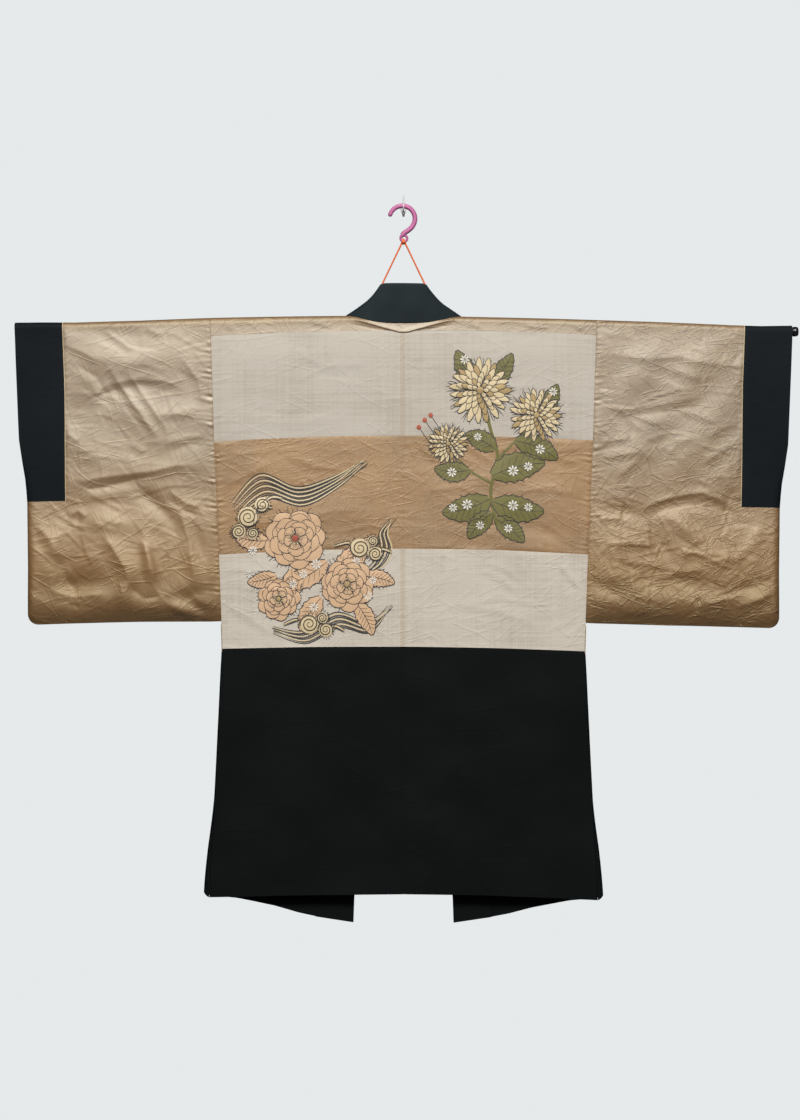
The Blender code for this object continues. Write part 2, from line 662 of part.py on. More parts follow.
def build_hanger_hook():
    """The plastic hook with its eye."""
    path = []
    for angle in steps(math.radians(HOOK_TIP_ANGLE), math.radians(HOOK_TURN_ANGLE), 18):
        x = HOOK_BOW_CENTRE[0] + HOOK_BOW_RADIUS * math.cos(angle)
        z = HOOK_BOW_CENTRE[1] + HOOK_BOW_RADIUS * math.sin(angle)
        path.append(Vector((x, HANG_Y, z)))
    shank = [path[-1]] + [Vector((x, HANG_Y, z)) for x, z in HOOK_SHANK]
    path += smooth_path(shank, 2)[1:]
    beyond = path[0] + (path[0] - path[1]).normalized() * HOOK_TUBE * 0.7
    path.insert(0, beyond)
    swell = [0.45, 0.92] + [1.0] * (len(path) - 7) + [0.97, 0.92, 0.85, 0.78, 0.70]
    stem = tube_mesh("hook_stem", path, HOOK_TUBE, 12, swell=swell)
    eye = []
    for angle in steps(0, 2 * math.pi, 20)[:-1]:
        x = EYE_CENTRE[0] + EYE_RADIUS * math.cos(angle)
        z = EYE_CENTRE[1] + EYE_RADIUS * math.sin(angle)
        eye.append((x, HANG_Y, z))
    ring = tube_mesh("hook_eye", eye, EYE_TUBE, 8, closed=True)
    joined("hanger_hook", [stem, ring], "hook_plastic")


def build_wall_hook():
    """The small steel hook: its strip lies on the wall, its peg carries the plastic hook."""
    bm = bmesh.new()
    bmesh.ops.create_cube(bm, size=1.0)
    height = STRIP_TOP - STRIP_FOOT
    bmesh.ops.scale(bm, verts=bm.verts, vec=(2 * STRIP_HALF_WIDTH, STRIP_THICKNESS, height))
    middle = (0, -STRIP_THICKNESS / 2, (STRIP_TOP + STRIP_FOOT) / 2)
    bmesh.ops.translate(bm, verts=bm.verts, vec=middle)
    strip = bpy.data.meshes.new("strip")
    bm.to_mesh(strip)
    bm.free()

    crown = HOOK_BOW_CENTRE[1] + HOOK_BOW_RADIUS - HOOK_TUBE
    seat = crown - SEAM - PEG_RADIUS
    slope = PEG_RISE / PEG_REACH
    root = Vector((0, -STRIP_THICKNESS / 2, seat + slope * HANG_Y))
    tip = root + Vector((0, -PEG_REACH, PEG_RISE))
    peg = tube_mesh("peg", [root, root.lerp(tip, 0.96), tip], PEG_RADIUS, 12, swell=(1, 1, 0.7))
    foot = Vector((0, -STRIP_THICKNESS - BALL_RADIUS * 0.6, BRACE_FOOT))
    shelf_y, shelf_z = HANG_Y * 0.8, seat - PEG_RADIUS * 0.6
    bend = [foot, Vector((-BRACE_HALF_SPAN, shelf_y, shelf_z)), Vector((0, shelf_y, seat))]
    other = [Vector((-point.x, point.y, point.z)) for point in bend]
    braces = [tube_mesh("brace", smooth_path(way, 4), BRACE_RADIUS, 8) for way in (bend, other)]
    ball = ball_mesh("ball", foot, BALL_RADIUS, 10, 6)
    joined("wall_hook", [strip, peg, ball, *braces], "steel")


def main():
    for obj in list(bpy.data.objects):
        bpy.data.objects.remove(obj)
    build_back()
    for word, side, folds in (("left", -1, LEFT_SLEEVE_FOLDS), ("right", 1, RIGHT_SLEEVE_FOLDS)):
        build_front_lining(word, side)
        build_front_hem(word, side)
        build_gusset(word, side)
        build_sleeve(word, side, folds)
        build_cuff(word, side)
    build_collar()
    build_rod()
    build_cord()
    build_hanger_hook()
    build_wall_hook()


main()
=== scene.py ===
"""Looks of a haori jacket that hangs inside out on a rod, its satin and woven lining outwards.

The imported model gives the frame. Each cloth solid is replaced by a thin shell on the same form,
with its creases, seam puckers and turned edges; the rod, cord and hooks get finer pieces.
Metres, and millimetres in the rows given to metres(). +X is to the viewer's right, +Z up, the
viewer looks along +Y. Left and right are the viewer's. A place on the cloth is given by out, its
distance from the centre line, and drop, its depth below the shoulder line.
"""

import functools
import math

import bmesh
import bpy
import numpy as np
from mathutils import Matrix, Vector


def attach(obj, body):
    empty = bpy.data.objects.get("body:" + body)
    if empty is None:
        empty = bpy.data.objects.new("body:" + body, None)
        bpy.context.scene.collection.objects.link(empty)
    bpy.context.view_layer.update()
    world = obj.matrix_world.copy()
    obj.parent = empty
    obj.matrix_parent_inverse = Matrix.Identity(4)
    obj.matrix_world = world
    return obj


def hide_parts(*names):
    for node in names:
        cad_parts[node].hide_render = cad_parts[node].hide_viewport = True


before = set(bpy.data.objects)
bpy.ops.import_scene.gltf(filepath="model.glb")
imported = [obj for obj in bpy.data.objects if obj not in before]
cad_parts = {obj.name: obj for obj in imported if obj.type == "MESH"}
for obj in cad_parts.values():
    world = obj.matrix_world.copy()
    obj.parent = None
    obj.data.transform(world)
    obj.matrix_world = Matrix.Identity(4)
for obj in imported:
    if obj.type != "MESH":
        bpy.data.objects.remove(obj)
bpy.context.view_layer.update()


def metres(sizes):
    """Sizes written in millimetres, alone or nested in rows, as metres."""
    if isinstance(sizes, tuple):
        return tuple(metres(size) for size in sizes)
    return None if sizes is None else 0.001 * sizes


# ---------------------------------------------------------------- sizes shared with the solids
NEAR, WALL = -1, 1              # the viewer's side of the cloth and the wall's side
SHOULDER_Z = -0.1778
HANG_Y = -0.024
ROD_RADIUS = 0.0082
ROD_LEFT_END, ROD_RIGHT_END = -0.6450, 0.6520
ROD_BOW_LEFT, ROD_BOW_RIGHT, BOW_REACH = 0.0127, 0.0170, 0.6620
TURN = 0.0097                   # radius of the cloth's middle over the rod
SEAM = 0.00006                  # the visible pieces meet at their seams
SHELL = 0.0014                  # thickness of the visible cloth
NECK_HALF = 0.098
TOP_LINE, UPPER_LINE = (0.026, 0.026), (0.202, 0.207)
MIDDLE_LINE, LOWER_LINE, BACK_HEM = (0.400, 0.400), (0.563, 0.563), (0.984, 0.984)
FRONT_FACING = 0.563
SLEEVE_DEPTH, SLEEVE_CORNER, CUFF_DEPTH = 0.515, 0.018, 0.306
GUSSET_TOP, GUSSET_RISE = 0.5195, 0.008
GUSSET_TIP, GUSSET_EASE = (0.004, 0.0095), 0.0006
LOOSENING = 0.060
SEAM_HOLLOW, BODY_HOLLOW, SLEEVE_HOLLOW, CUFF_HOLLOW = 0.0105, 0.0130, 0.0125, 0.0100
CLOSED_HOLLOW, EDGE_ROUND, WRIST_EASE = 0.0014, 0.014, 0.086
FOLD_SPREAD, FOLD_SHARE = 1.8, 0.65      # the folds reach further and stand lower than the solids'
FOLDS_ABOVE, FOLDS_BELOW, FOLDS_RIGHT = 0.75, 1.45, 0.75      # they grow downwards, less on the right
WRIST_SAG = 0.0048

BODY_EDGE = metres((
    (0, 328), (205, 322), (400, 313.5), (515, 309.5), (563, 308), (650, 312), (735, 316), (816, 320),
    (896, 326), (984, 330),
))
SLEEVE_EDGE = metres((
    (0, 662), (130, 657), (200, 654), (240, 648), (265, 644), (306, 641), (420, 639.5), (515, 640),
))
CUFF_SEAM = metres(((0, 581), (100, 577), (306, 575), (515, 574)))
FRONT_HEM = metres(((83, 1031), (145, 1022), (180, 1015), (220, 1004), (285, 990), (330, 984)))
COLLAR = metres((
    # seam_out, seam_over, fold_out, fold_drop, lean
    (0, -10, 0, -55, -8.5),
    (20, -9.9, 18, -55, -8.5),
    (38, -9.2, 33, -54.8, -8.5),
    (52, -7.6, 39, -53, -8),
    (66, -4.8, 44, -45.5, -7),
    (80, -1.5, 49, -38.5, -5.5),
    (90, -0.3, 57, -28, -3),
    (98, 0.3, 66, -19.5, 1),
    (108, 7, 76, -12.5, 5),
    (121, 22, 88, -5, 9.5),
    (135, 45, 97, 8, 12),
    (146, 80, 100, 40, None),
    (152, 130, 98, 95, None),
    (154, 190, 93, 165, None),
    (153, 260, 89, 250, None),
    (152, 330, 87, 325, None),
    (151, 400, 86, 397, None),
    (151, 480, 85, 479, None),
    (150, 560, 84, 560, None),
    (150, 640, 83, 642, None),
    (149, 720, 82, 724, None),
    (149, 800, 82, 805, None),
    (148, 880, 82, 886, None),
    (148, 950, 83, 957, None),
    (148, 1021.8, 86, 1031, None),
))

# How far the cloth hangs below its even line: a row for each depth, a column for each out
SAG_OUTS = metres((-660, -610, -560, -450, -330, -150, 0, 150, 330, 450, 560, 610, 660))
SAG_DEPTHS = metres((0, 26, 200, 400, 563, 984, 1031))
SAG = metres((
    (0, 1.4, 3.4, 3.4, 1.4, 0.8, 0.8, 2.6, 4, 4.4, 4.9, 4, 0.8),
    (0, 1.4, 3.4, 3.4, 6.4, 1.8, 0.6, 0.2, 3.6, 4.2, 4.6, 4, 0.8),
    (0, 0.6, 1.6, 2.4, 5.8, 3.8, 3.4, 2.8, 2.3, 3.2, 3, 2.4, 1),
    (0, 0.2, 0.6, 1.4, 5.4, -1, -2.6, -1.6, 4, 4, 3, 2, 1),
    (0, 0, 0, 0.4, 2, 0.8, 1, 2.4, 5.6, 5.4, 2.6, 1.8, 1.2),
    (0, 0, 0, 0, 3, 1.6, 0.8, 2, 7, 7, 7, 7, 7),
    (0, 0, 0, 0, 3, 5.6, 5.6, 6.6, 8, 8, 8, 8, 8),
))

# The large soft folds of the solids: out_a, drop_a, out_b, drop_b, reach, height. On the sleeves
# out is always positive, on the body it is negative on the left
LEFT_SLEEVE_FOLDS = {
    NEAR: metres((
        (560, 150, 497, 122, 30, -3), (497, 122, 400, 118, 30, -3.2), (506, 66, 414, 205, 26, 2.4),
        (574, 276, 470, 262, 30, 2.6), (470, 262, 345, 248, 28, 2), (514, 350, 470, 430, 30, 2.6),
        (582, 405, 560, 455, 32, -2.8), (405, 375, 400, 440, 32, -2.8),
    )),
    WALL: metres((
        (345, 70, 500, 120, 32, 2.4), (560, 180, 420, 230, 32, -2.8), (350, 330, 520, 300, 32, 2.6),
        (440, 380, 480, 455, 32, -2.6),
    )),
}
RIGHT_SLEEVE_FOLDS = {
    NEAR: metres((
        (345, 56, 430, 68, 28, 2.2), (430, 68, 560, 70, 28, 2.2), (350, 152, 453, 142, 30, -2.8),
        (453, 142, 530, 105, 30, -2.6), (345, 238, 500, 205, 28, 2.2), (400, 325, 480, 298, 30, -3.2),
        (480, 298, 572, 316, 30, -3.2), (560, 470, 610, 440, 30, 2.4), (380, 400, 470, 430, 32, -2.2),
    )),
    WALL: metres((
        (360, 100, 520, 80, 32, 2.4), (540, 150, 400, 210, 32, -2.8), (360, 280, 540, 340, 32, 2.6),
        (520, 400, 430, 450, 32, -2.6),
    )),
}
BODY_FOLDS = {
    NEAR: metres((
        (-290, 330, -90, 322, 36, 1.6), (60, 250, 280, 235, 36, -1.6), (230, 640, 245, 980, 50, -2.2),
        (-190, 660, -180, 980, 50, -2),
    )),
    WALL: metres((
        (250, 80, 225, 500, 45, 2.4), (-250, 100, -215, 520, 45, 2.4), (230, 620, 235, 980, 50, -2.4),
        (-245, 600, -240, 980, 50, 2.2),
    )),
}

# ---------------------------------------------------------------- creases given one by one
# Half width and height of the crest, then its points as (out, drop)
LEFT_SLEEVE_CREASES = metres((
    (5, 1.3, (514, 12), (485, 33), (455, 53)),
    (4.5, 1, (443, 10), (411, 26)),
    (5, 1.1, (579, 37), (545, 52), (511, 73)),
    (11, -1.2, (565, 158), (530, 133), (497, 119), (451, 110), (411, 115)),
    (6, 1.6, (550, 135), (497, 108), (451, 99), (400, 105), (365, 122)),
    (4.5, 1.7, (506, 73), (462, 139), (414, 207)),
    (4.5, 1.4, (473, 83), (431, 145), (394, 199)),
    (5.5, 1.4, (411, 212), (370, 202), (333, 195)),
    (5, 1.1, (422, 164), (346, 157)),
    (7, 1.9, (574, 278), (514, 268), (429, 259), (385, 248), (333, 247)),
    (6, -1.4, (560, 290), (509, 284), (462, 273), (405, 262)),
    (5, 1.3, (575, 188), (550, 208)),
    (5, 1.2, (470, 209), (436, 228)),
    (5.5, 1.6, (570, 333), (553, 323), (538, 336)),
    (8.5, 2.2, (514, 360), (492, 390), (473, 421), (462, 455)),
    (8.5, 2, (445, 366), (431, 408), (421, 448)),
    (8, 1.8, (387, 307), (363, 376), (353, 461)),
    (10, -2.2, (590, 400), (574, 440), (552, 470)),
    (9, -2, (470, 452), (440, 476), (405, 470)),
    (7, 1.8, (630, 340), (600, 372), (580, 415)),
    (6, 1.5, (380, 60), (350, 100), (338, 150)),
    (5, -1.2, (560, 70), (520, 98), (500, 140)),
    (6, 1.4, (610, 455), (560, 470), (500, 466)),
    (5.5, 1.3, (400, 290), (370, 312), (340, 320)),
))
RIGHT_SLEEVE_CREASES = metres((
    (5.5, 1.5, (335, 56), (412, 65), (470, 58), (499, 66), (570, 69)),
    (5, 1.2, (417, 70), (470, 86), (516, 101)),
    (7, -1.8, (557, 68), (579, 44)),
    (9, -1.2, (335, 160), (371, 167), (453, 152), (496, 143), (516, 120)),
    (5.5, 1.5, (330, 148), (371, 154), (453, 138), (496, 128), (516, 106)),
    (4.5, 1.3, (371, 157), (411, 166), (450, 180)),
    (5, 1.3, (371, 158), (409, 191)),
    (5, 1.3, (460, 152), (482, 153), (538, 170)),
    (5.5, 1.6, (574, 165), (535, 178), (514, 199)),
    (4.5, 1.2, (330, 212), (387, 199)),
    (4.5, 1.1, (404, 207), (450, 190)),
    (6.5, 1.9, (574, 190), (543, 214), (501, 244)),
    (5, 1.4, (330, 236), (404, 224), (429, 242)),
    (5, 1.3, (361, 271), (407, 229)),
    (5.5, 1.4, (446, 231), (467, 205), (496, 197)),
    (5, 1.8, (395, 328), (424, 309), (456, 299), (509, 288), (569, 305)),
    (7, -1.2, (408, 340), (440, 322), (480, 312), (530, 310), (568, 322)),
    (6, 1.6, (332, 345), (341, 338), (368, 337), (399, 348)),
    (6, 1.4, (468, 393), (533, 392)),
    (5.5, 1.3, (448, 425), (513, 422)),
    (8, 2.2, (562, 483), (600, 468), (632, 449)),
    (7, 1.7, (504, 479), (550, 468), (592, 451)),
    (6, 1.4, (365, 498), (421, 493)),
    (7.5, -1.8, (350, 405), (395, 425), (425, 460)),
    (6, 1.4, (610, 330), (590, 370), (560, 400)),
    (6, 1.3, (345, 385), (380, 378), (430, 384)),
    (5, 1.2, (540, 250), (560, 275), (572, 300)),
))
MIDDLE_CREASES = metres((
    (4.5, 1.2, (8, 210), (18, 239)),
    (4.5, 1.3, (20, 212), (62, 254)),
    (4.5, 1.4, (98, 210), (122, 230), (154, 248)),
    (4.5, 1.1, (122, 230), (160, 210)),
    (4.5, 1.3, (139, 233), (184, 222), (232, 209)),
    (4.5, 1.3, (161, 258), (200, 232), (234, 214)),
    (4.5, 1.2, (212, 240), (254, 236), (310, 250)),
    (4.5, 1.2, (212, 240), (264, 227), (312, 218)),
    (6.5, 1.5, (-312, 360), (-241, 349), (-154, 340), (-88, 327), (-43, 332)),
    (5, 1.2, (-309, 284), (-256, 262), (-227, 246)),
    (4.5, 1, (-297, 229), (-220, 227)),
    (5, 1.1, (-200, 232), (-150, 256), (-90, 262)),
    (5, -1.2, (-270, 310), (-200, 300), (-140, 305)),
    (5, 1.1, (30, 300), (90, 292), (150, 306)),
    (5, 1.2, (190, 300), (240, 290), (300, 300)),
    (5.5, -1.2, (60, 350), (130, 362), (210, 350)),
    (5, 1.1, (-120, 372), (-60, 360), (-20, 366)),
    (5, 1.2, (230, 345), (270, 370), (300, 385)),
))
PALE_CREASES = metres((
    (5, 1, (-306, 486), (-262, 512), (-215, 545)),
    (4, 0.9, (-285, 430), (-245, 434), (-190, 452), (-150, 470)),
    (3.5, 0.9, (-215, 415), (-232, 440)),
    (3.5, 1, (-200, 450), (-176, 480), (-168, 500)),
    (3.5, 0.8, (-222, 520), (-206, 556)),
    (5, 0.9, (262, 415), (285, 440), (304, 470)),
    (6, 0.8, (-210, 60), (-120, 85), (-40, 80)),
    (5, 0.8, (50, 110), (140, 126), (240, 115)),
    (5, 0.7, (200, 60), (182, 110), (176, 170)),
    (4, 0.7, (100, 70), (90, 130)),
    (6, -0.7, (-290, 150), (-200, 165), (-100, 160)),
    (5, 0.9, (70, 490), (150, 500), (230, 520)),
    (4, 0.8, (120, 430), (170, 450), (200, 480)),
    (3, 0.9, (263, 413), (284, 445), (304, 458)),
    (3, 0.7, (124, 421), (168, 429), (212, 458)),
    (2.6, 0.7, (-294, 457), (-235, 465), (-177, 465)),
    (3, 0.6, (95, 495), (168, 480), (241, 491)),
))
STRIP_CREASES = metres((
    (1.6, 0.7, (34, 23.2), (60, 16), (86, 10.5)),
    (1.6, 0.6, (-34, 23.2), (-62, 16), (-90, 10)),
    (1.6, 0.6, (-8, 13), (-2, 23)),
    (3, 0.6, (-300, 10), (-290, 21)),
    (3, 0.6, (110, 12), (132, 22)),
    (3, 0.7, (290, 8), (306, 22)),
    (3, 0.5, (-160, 10), (-120, 18)),
    (3, 0.5, (200, 14), (250, 18)),
))
BLACK_CREASES = metres((
    (12, 0.6, (-250, 640), (-230, 760), (-245, 900)),
    (12, 0.6, (130, 620), (110, 780), (120, 940)),
    (10, 0.5, (260, 700), (285, 820), (300, 930)),
))

# Soft bulges in mm: out, drop, half length, half width, height, and slant in degrees
LEFT_SLEEVE_SWELLS = (
    (500, 140, 70, 14, -1.2, 18), (425, 312, 48, 13, -3, 137), (555, 452, 52, 20, -4.4, 5),
    (432, 412, 42, 10, 3, 100), (362, 470, 30, 13, -3.2, 10), (600, 385, 40, 16, 2.6, 60),
    (350, 380, 42, 14, -2.6, 110), (500, 345, 42, 18, 2.8, 170), (540, 225, 45, 16, 2, 150),
    (440, 65, 50, 18, 1.8, 20), (380, 160, 40, 18, 1.8, 170), (475, 465, 24, 12, 2.6, 80),
    (352, 490, 28, 10, -4, -35), (372, 502, 26, 9, 5, -30),
)
RIGHT_SLEEVE_SWELLS = (
    (480, 352, 45, 12, 3, 40), (440, 382, 42, 15, -3.2, 60), (480, 446, 62, 18, -3.8, 5),
    (350, 458, 30, 13, -3, 20), (582, 448, 42, 13, -3, 160), (602, 370, 32, 14, 2.6, 110),
    (370, 328, 36, 14, -2.6, 10), (362, 400, 36, 14, 2.2, 80), (540, 398, 40, 14, 2.4, 175),
    (440, 110, 60, 18, 1.6, 10), (540, 50, 30, 14, -1.6, 150), (400, 190, 50, 18, -1.6, 20),
)
MIDDLE_SWELLS = (
    (-205, 300, 90, 16, -2.2, 0), (-110, 345, 80, 14, 2, -6), (-60, 285, 50, 14, 1.6, 60),
    (50, 350, 50, 16, -1.8, 80), (150, 275, 70, 13, 1.8, -15), (235, 362, 70, 14, -2.2, 8),
    (120, 325, 60, 14, 1.6, 30), (-260, 245, 50, 14, 1.4, 20),
)


# ---------------------------------------------------------------- helpers for sizes
def mix(a, b, share):
    return a + (b - a) * share


def ease(share):
    share = np.clip(share, 0.0, 1.0)
    return share * share * (3.0 - 2.0 * share)


def read(rows, at):
    """Second column of a two-column table at values of its first."""
    firsts, seconds = zip(*rows)
    return np.interp(at, firsts, seconds)


def bow(out):
    """How far the rod's bend lowers a place."""
    depth = np.where(out > 0, ROD_BOW_RIGHT, ROD_BOW_LEFT)
    return depth * (out / BOW_REACH) ** 2


def sag(out, depth):
    """How far the cloth hangs below its even line, from the table of SAG."""
    rows = np.stack([np.interp(out, SAG_OUTS, row) for row in SAG])
    place = np.interp(depth, SAG_DEPTHS, np.arange(len(SAG)))
    row = np.minimum(place.astype(int), len(SAG) - 2)
    each = np.arange(len(place))
    return mix(rows[row, each], rows[row + 1, each], place - row)


def rod_z(out):
    """Height of the rod's middle."""
    places = np.atleast_1d(out).astype(float)
    heights = SHOULDER_Z - TURN - bow(places) - sag(places, 0.0 * places)
    return heights if np.ndim(out) else float(heights[0])


def unit(rows):
    """Each row as a direction of length one."""
    return rows / np.maximum(np.linalg.norm(rows, axis=-1, keepdims=True), 1e-9)


def toward(angle):
    """The direction of an angle, or of each angle in a row."""
    return np.stack([np.cos(angle), np.sin(angle)], axis=-1)


def turn_steps(count):
    """Drops from the top of the rod to its side, evenly spaced round the turn."""
    return TURN * (1.0 - np.cos(np.linspace(0.0, math.pi / 2, count + 1)))


# ---------------------------------------------------------------- form of the cloth
def fold_height(folds, side, out, drop):
    """The large soft folds at a place, blended where they meet."""
    pull, weight = np.zeros_like(out), np.full_like(out, 1e-9)
    for fold_side, rows in folds.items():
        for out_a, drop_a, out_b, drop_b, reach, height in rows:
            run, fall = out_b - out_a, drop_b - drop_a
            along = ((out - out_a) * run + (drop - drop_a) * fall) / (run * run + fall * fall)
            along = np.clip(along, 0.0, 1.0)
            away = np.hypot(out - out_a - run * along, drop - drop_a - fall * along)
            here = height * ease(1.0 - away / (FOLD_SPREAD * reach)) * (side == fold_side)
            pull += here * np.abs(here)
            weight += np.abs(here)
    return FOLD_SHARE * pull / weight


def crease_height(creases, out, drop):
    """Pressed crests, gentle above and steep below, that taper to nothing at both ends."""
    total = np.zeros_like(out)
    for half_width, height, *points in creases:
        room = 7 * half_width
        lows, highs = np.min(points, axis=0) - room, np.max(points, axis=0) + room
        near = (out > lows[0]) & (out < highs[0]) & (drop > lows[1]) & (drop < highs[1])
        if not near.any():
            continue
        x, z = out[near], drop[near]
        best = np.full_like(x, 1.0)
        below, taper = np.zeros_like(x, dtype=bool), np.zeros_like(x)
        legs = list(zip(points, points[1:]))
        lengths = [math.dist(p, q) for p, q in legs]
        start = 0.0
        for (p, q), length in zip(legs, lengths):
            run, fall = q[0] - p[0], q[1] - p[1]
            along = ((x - p[0]) * run + (z - p[1]) * fall) / length**2
            held = np.clip(along, 0.0, 1.0)
            away = np.hypot(x - p[0] - run * held, z - p[1] - fall * held)
            lower = ((z - p[1]) * run - (x - p[0]) * fall) * (1 if run >= 0 else -1) > 0
            nearer = away < best
            best = np.where(nearer, away, best)
            below = np.where(nearer, lower, below)
            share = (start + held * length) / sum(lengths)
            taper = np.where(nearer, ease(3.5 * np.minimum(share, 1.0 - share) + 0.05), taper)
            start += length
        width = half_width * np.where(below, 0.75, 1.6)
        crest = np.exp(-((best / width) ** 1.15))
        hollow = np.exp(-(((best - 2.4 * half_width) / (1.3 * half_width)) ** 2)) * below
        total[near] += height * taper * (crest - 0.40 * hollow)
    return total


def swell_height(swells, out, drop):
    """Soft long bulges and hollows."""
    total = np.zeros_like(out)
    for *sizes, slant in swells:
        middle_out, middle_drop, half_length, half_width, height = metres(tuple(sizes))
        turn = math.radians(slant)
        x, z = out - middle_out, drop - middle_drop
        along = (x * math.cos(turn) + z * math.sin(turn)) / half_length
        across = (z * math.cos(turn) - x * math.sin(turn)) / half_width
        total += height * np.exp(-(along**2) - across**2)
    return total


def scattered_creases(seed, count, box, reach, height, slant=0.0):
    """Small creases in random places of a box (low out, high out, low drop, high drop)."""
    draw = np.random.default_rng(seed)
    rows = []
    for _ in range(count):
        middle = (draw.uniform(box[0], box[1]), draw.uniform(box[2], box[3]))
        angle = draw.normal(slant, 0.75)
        half = draw.uniform(0.2, 1.0) * reach
        bend = draw.uniform(-0.12, 0.12)
        way = (math.cos(angle), math.sin(angle))
        start = (middle[0] - way[0] * half, middle[1] - way[1] * half)
        end = (middle[0] + way[0] * half, middle[1] + way[1] * half)
        knee = (middle[0] - way[1] * half * bend, middle[1] + way[0] * half * bend)
        strength = height * draw.uniform(0.35, 1.0) * draw.choice((1.0, 1.0, -1.0))
        rows.append((draw.uniform(0.0014, 0.0030), strength, start, knee, end))
    return tuple(rows)


def undulation(seed, out, drop, height):
    """Slow rise and fall of loose cloth."""
    draw = np.random.default_rng(seed)
    total = np.zeros_like(out)
    for _ in range(7):
        angle = draw.uniform(0, math.pi)
        wave = 2 * math.pi / draw.uniform(0.07, 0.19)
        phase = draw.uniform(0, 2 * math.pi)
        total += np.sin(wave * (out * math.cos(angle) + drop * math.sin(angle)) + phase)
    return height * total / 3.0


def puckers(distance, along, seed, height, spacing=0.0095, reach=0.008):
    """Short uneven gathers that run away from a sewn seam; along is the place on the seam."""
    distance = np.maximum(distance, 0.0)
    draw = np.random.default_rng(seed)
    phase, strength = np.zeros_like(along), np.full_like(along, 0.75)
    for _ in range(4):
        wave = 2 * math.pi / draw.uniform(0.028, 0.080)
        phase += draw.uniform(0.6, 1.1) * np.sin(wave * along + draw.uniform(0, 6.28))
        wave = 2 * math.pi / draw.uniform(0.015, 0.060)
        strength += 0.38 * np.sin(wave * along + draw.uniform(0, 6.28))
    length = reach * (1.1 + 0.7 * np.sin(along * 2 * math.pi / 0.037 + seed))
    wave = np.sin(2 * math.pi * along / spacing + phase + 120.0 * distance)
    grow = ease(distance / 0.0015)
    return height * np.maximum(strength, 0.1) * wave * grow * np.exp(-((distance / length) ** 1.3))


def groove(distance, depth=0.0008, width=0.0022):
    """The dip of the cloth into a sewn seam."""
    return -depth * np.exp(-((distance / width) ** 2))


def leave_rod(depth, hollow):
    """How far a layer stands off the middle plane: round over the rod, then down to its hollow."""
    over = np.sqrt(np.maximum(depth * (2.0 * TURN - depth), 0.0))
    return np.where(depth < TURN, over, mix(TURN, hollow, ease((depth - TURN) / LOOSENING)))


def roll(distance):
    """Rounds a closed edge: nought at the edge, one from EDGE_ROUND inwards."""
    inward = 1.0 - np.clip(distance / EDGE_ROUND, 0.0, 1.0)
    return np.sqrt(np.maximum(1.0 - inward * inward, 0.0))


def body_gap(out, depth, side):
    """How far the body's cloth stands off the middle plane on one side."""
    inward = read(BODY_EDGE, depth) - np.abs(out)
    hollow = mix(SEAM_HOLLOW, BODY_HOLLOW, ease(inward / LOOSENING))
    calm = ease(inward / 0.040) * ease((depth - TURN) / LOOSENING)
    return leave_rod(depth, hollow) + calm * fold_height(BODY_FOLDS, side, out, depth)


def sleeve_gap(out, depth, side, folds):
    """How far a sleeve's cloth stands off the middle plane on one side."""
    inner = read(BODY_EDGE, depth)
    cuff = read(CUFF_SEAM, depth)
    outward = out - inner
    hollow = mix(SEAM_HOLLOW, SLEEVE_HOLLOW, ease(outward / LOOSENING))
    hollow = mix(hollow, CUFF_HOLLOW, ease((out - cuff + LOOSENING) / LOOSENING))
    calm = ease(outward / 0.040) * ease((depth - TURN) / LOOSENING)
    calm = calm * ease((cuff + 0.040 - out) / 0.060)
    strength = mix(FOLDS_ABOVE, FOLDS_BELOW, ease((depth - 0.16) / 0.20))
    strength = strength * (1.0 if folds is LEFT_SLEEVE_FOLDS else FOLDS_RIGHT)
    return leave_rod(depth, hollow) + calm * strength * fold_height(folds, side, out, depth)


def sleeve_edge(depth):
    """Where a sleeve ends outwards, with its rounded lower corner."""
    edge = read(SLEEVE_EDGE, depth)
    below = np.maximum(depth - (SLEEVE_DEPTH - SLEEVE_CORNER), 0.0)
    return edge - SLEEVE_CORNER + np.sqrt(np.maximum(SLEEVE_CORNER**2 - below**2, 0.0))


def wrist_gap(out, depth, hollow):
    """A sleeve's gap, which closes at its outer edge below the cuff's opening."""
    shut = ease((depth - CUFF_DEPTH + WRIST_EASE) / WRIST_EASE)
    return hollow * mix(1.0, roll(sleeve_edge(depth) - out), shut)


def cross_line(line, share):
    """Depth of a seam across the back, from the centre seam at 0 to the side at 1."""
    return mix(line[0], line[1], share * share)


def cloth_points(out, depth, away):
    """out is negative on the left; the right sleeve sags a little more at the wrist."""
    wrist = WRIST_SAG * ease((out - 0.48) / 0.08) * np.exp(-(((depth - 0.30) / 0.14) ** 2))
    lower = bow(out) + sag(out, depth) + wrist
    return np.stack([out, HANG_Y + away, SHOULDER_Z - depth - lower], axis=1)


# ---------------------------------------------------------------- fine form of each panel
SATIN_CELL, PALE_CELL, BLACK_CELL = 0.0023, 0.0034, 0.0050      # size of a cell of each sheet
SLEEVE_CELL, SLEEVE_WALL_CELL, CUFF_CELL = 0.0024, 0.0046, 0.0042
LINING_CELL, LINING_DROP_CELL, STRIP_CELL = 0.0040, 0.0048, 0.0015
FRONT_HEM_CELL, GUSSET_CELL = 0.0055, 0.0060
CREASING_LEFT, CREASING_RIGHT, CREASING_BELOW = 0.70, 0.52, 1.40   # more rumpled lower down
CREASING_MIDDLE, SWELLING_MIDDLE = 0.44, 0.46   # the brown band is pressed flatter
GATHERS = 0.0007                # height of the gathers beside a sleeve's seam
GATHERS_LEFT = 0.0009           # and on the left sleeve, on the viewer's side
LEFT_SEED, RIGHT_SEED = 60, 70
BOTTOM_SWELL, BOTTOM_ROLL = 0.0060, 0.050       # a sleeve bulges below and rolls away at its foot
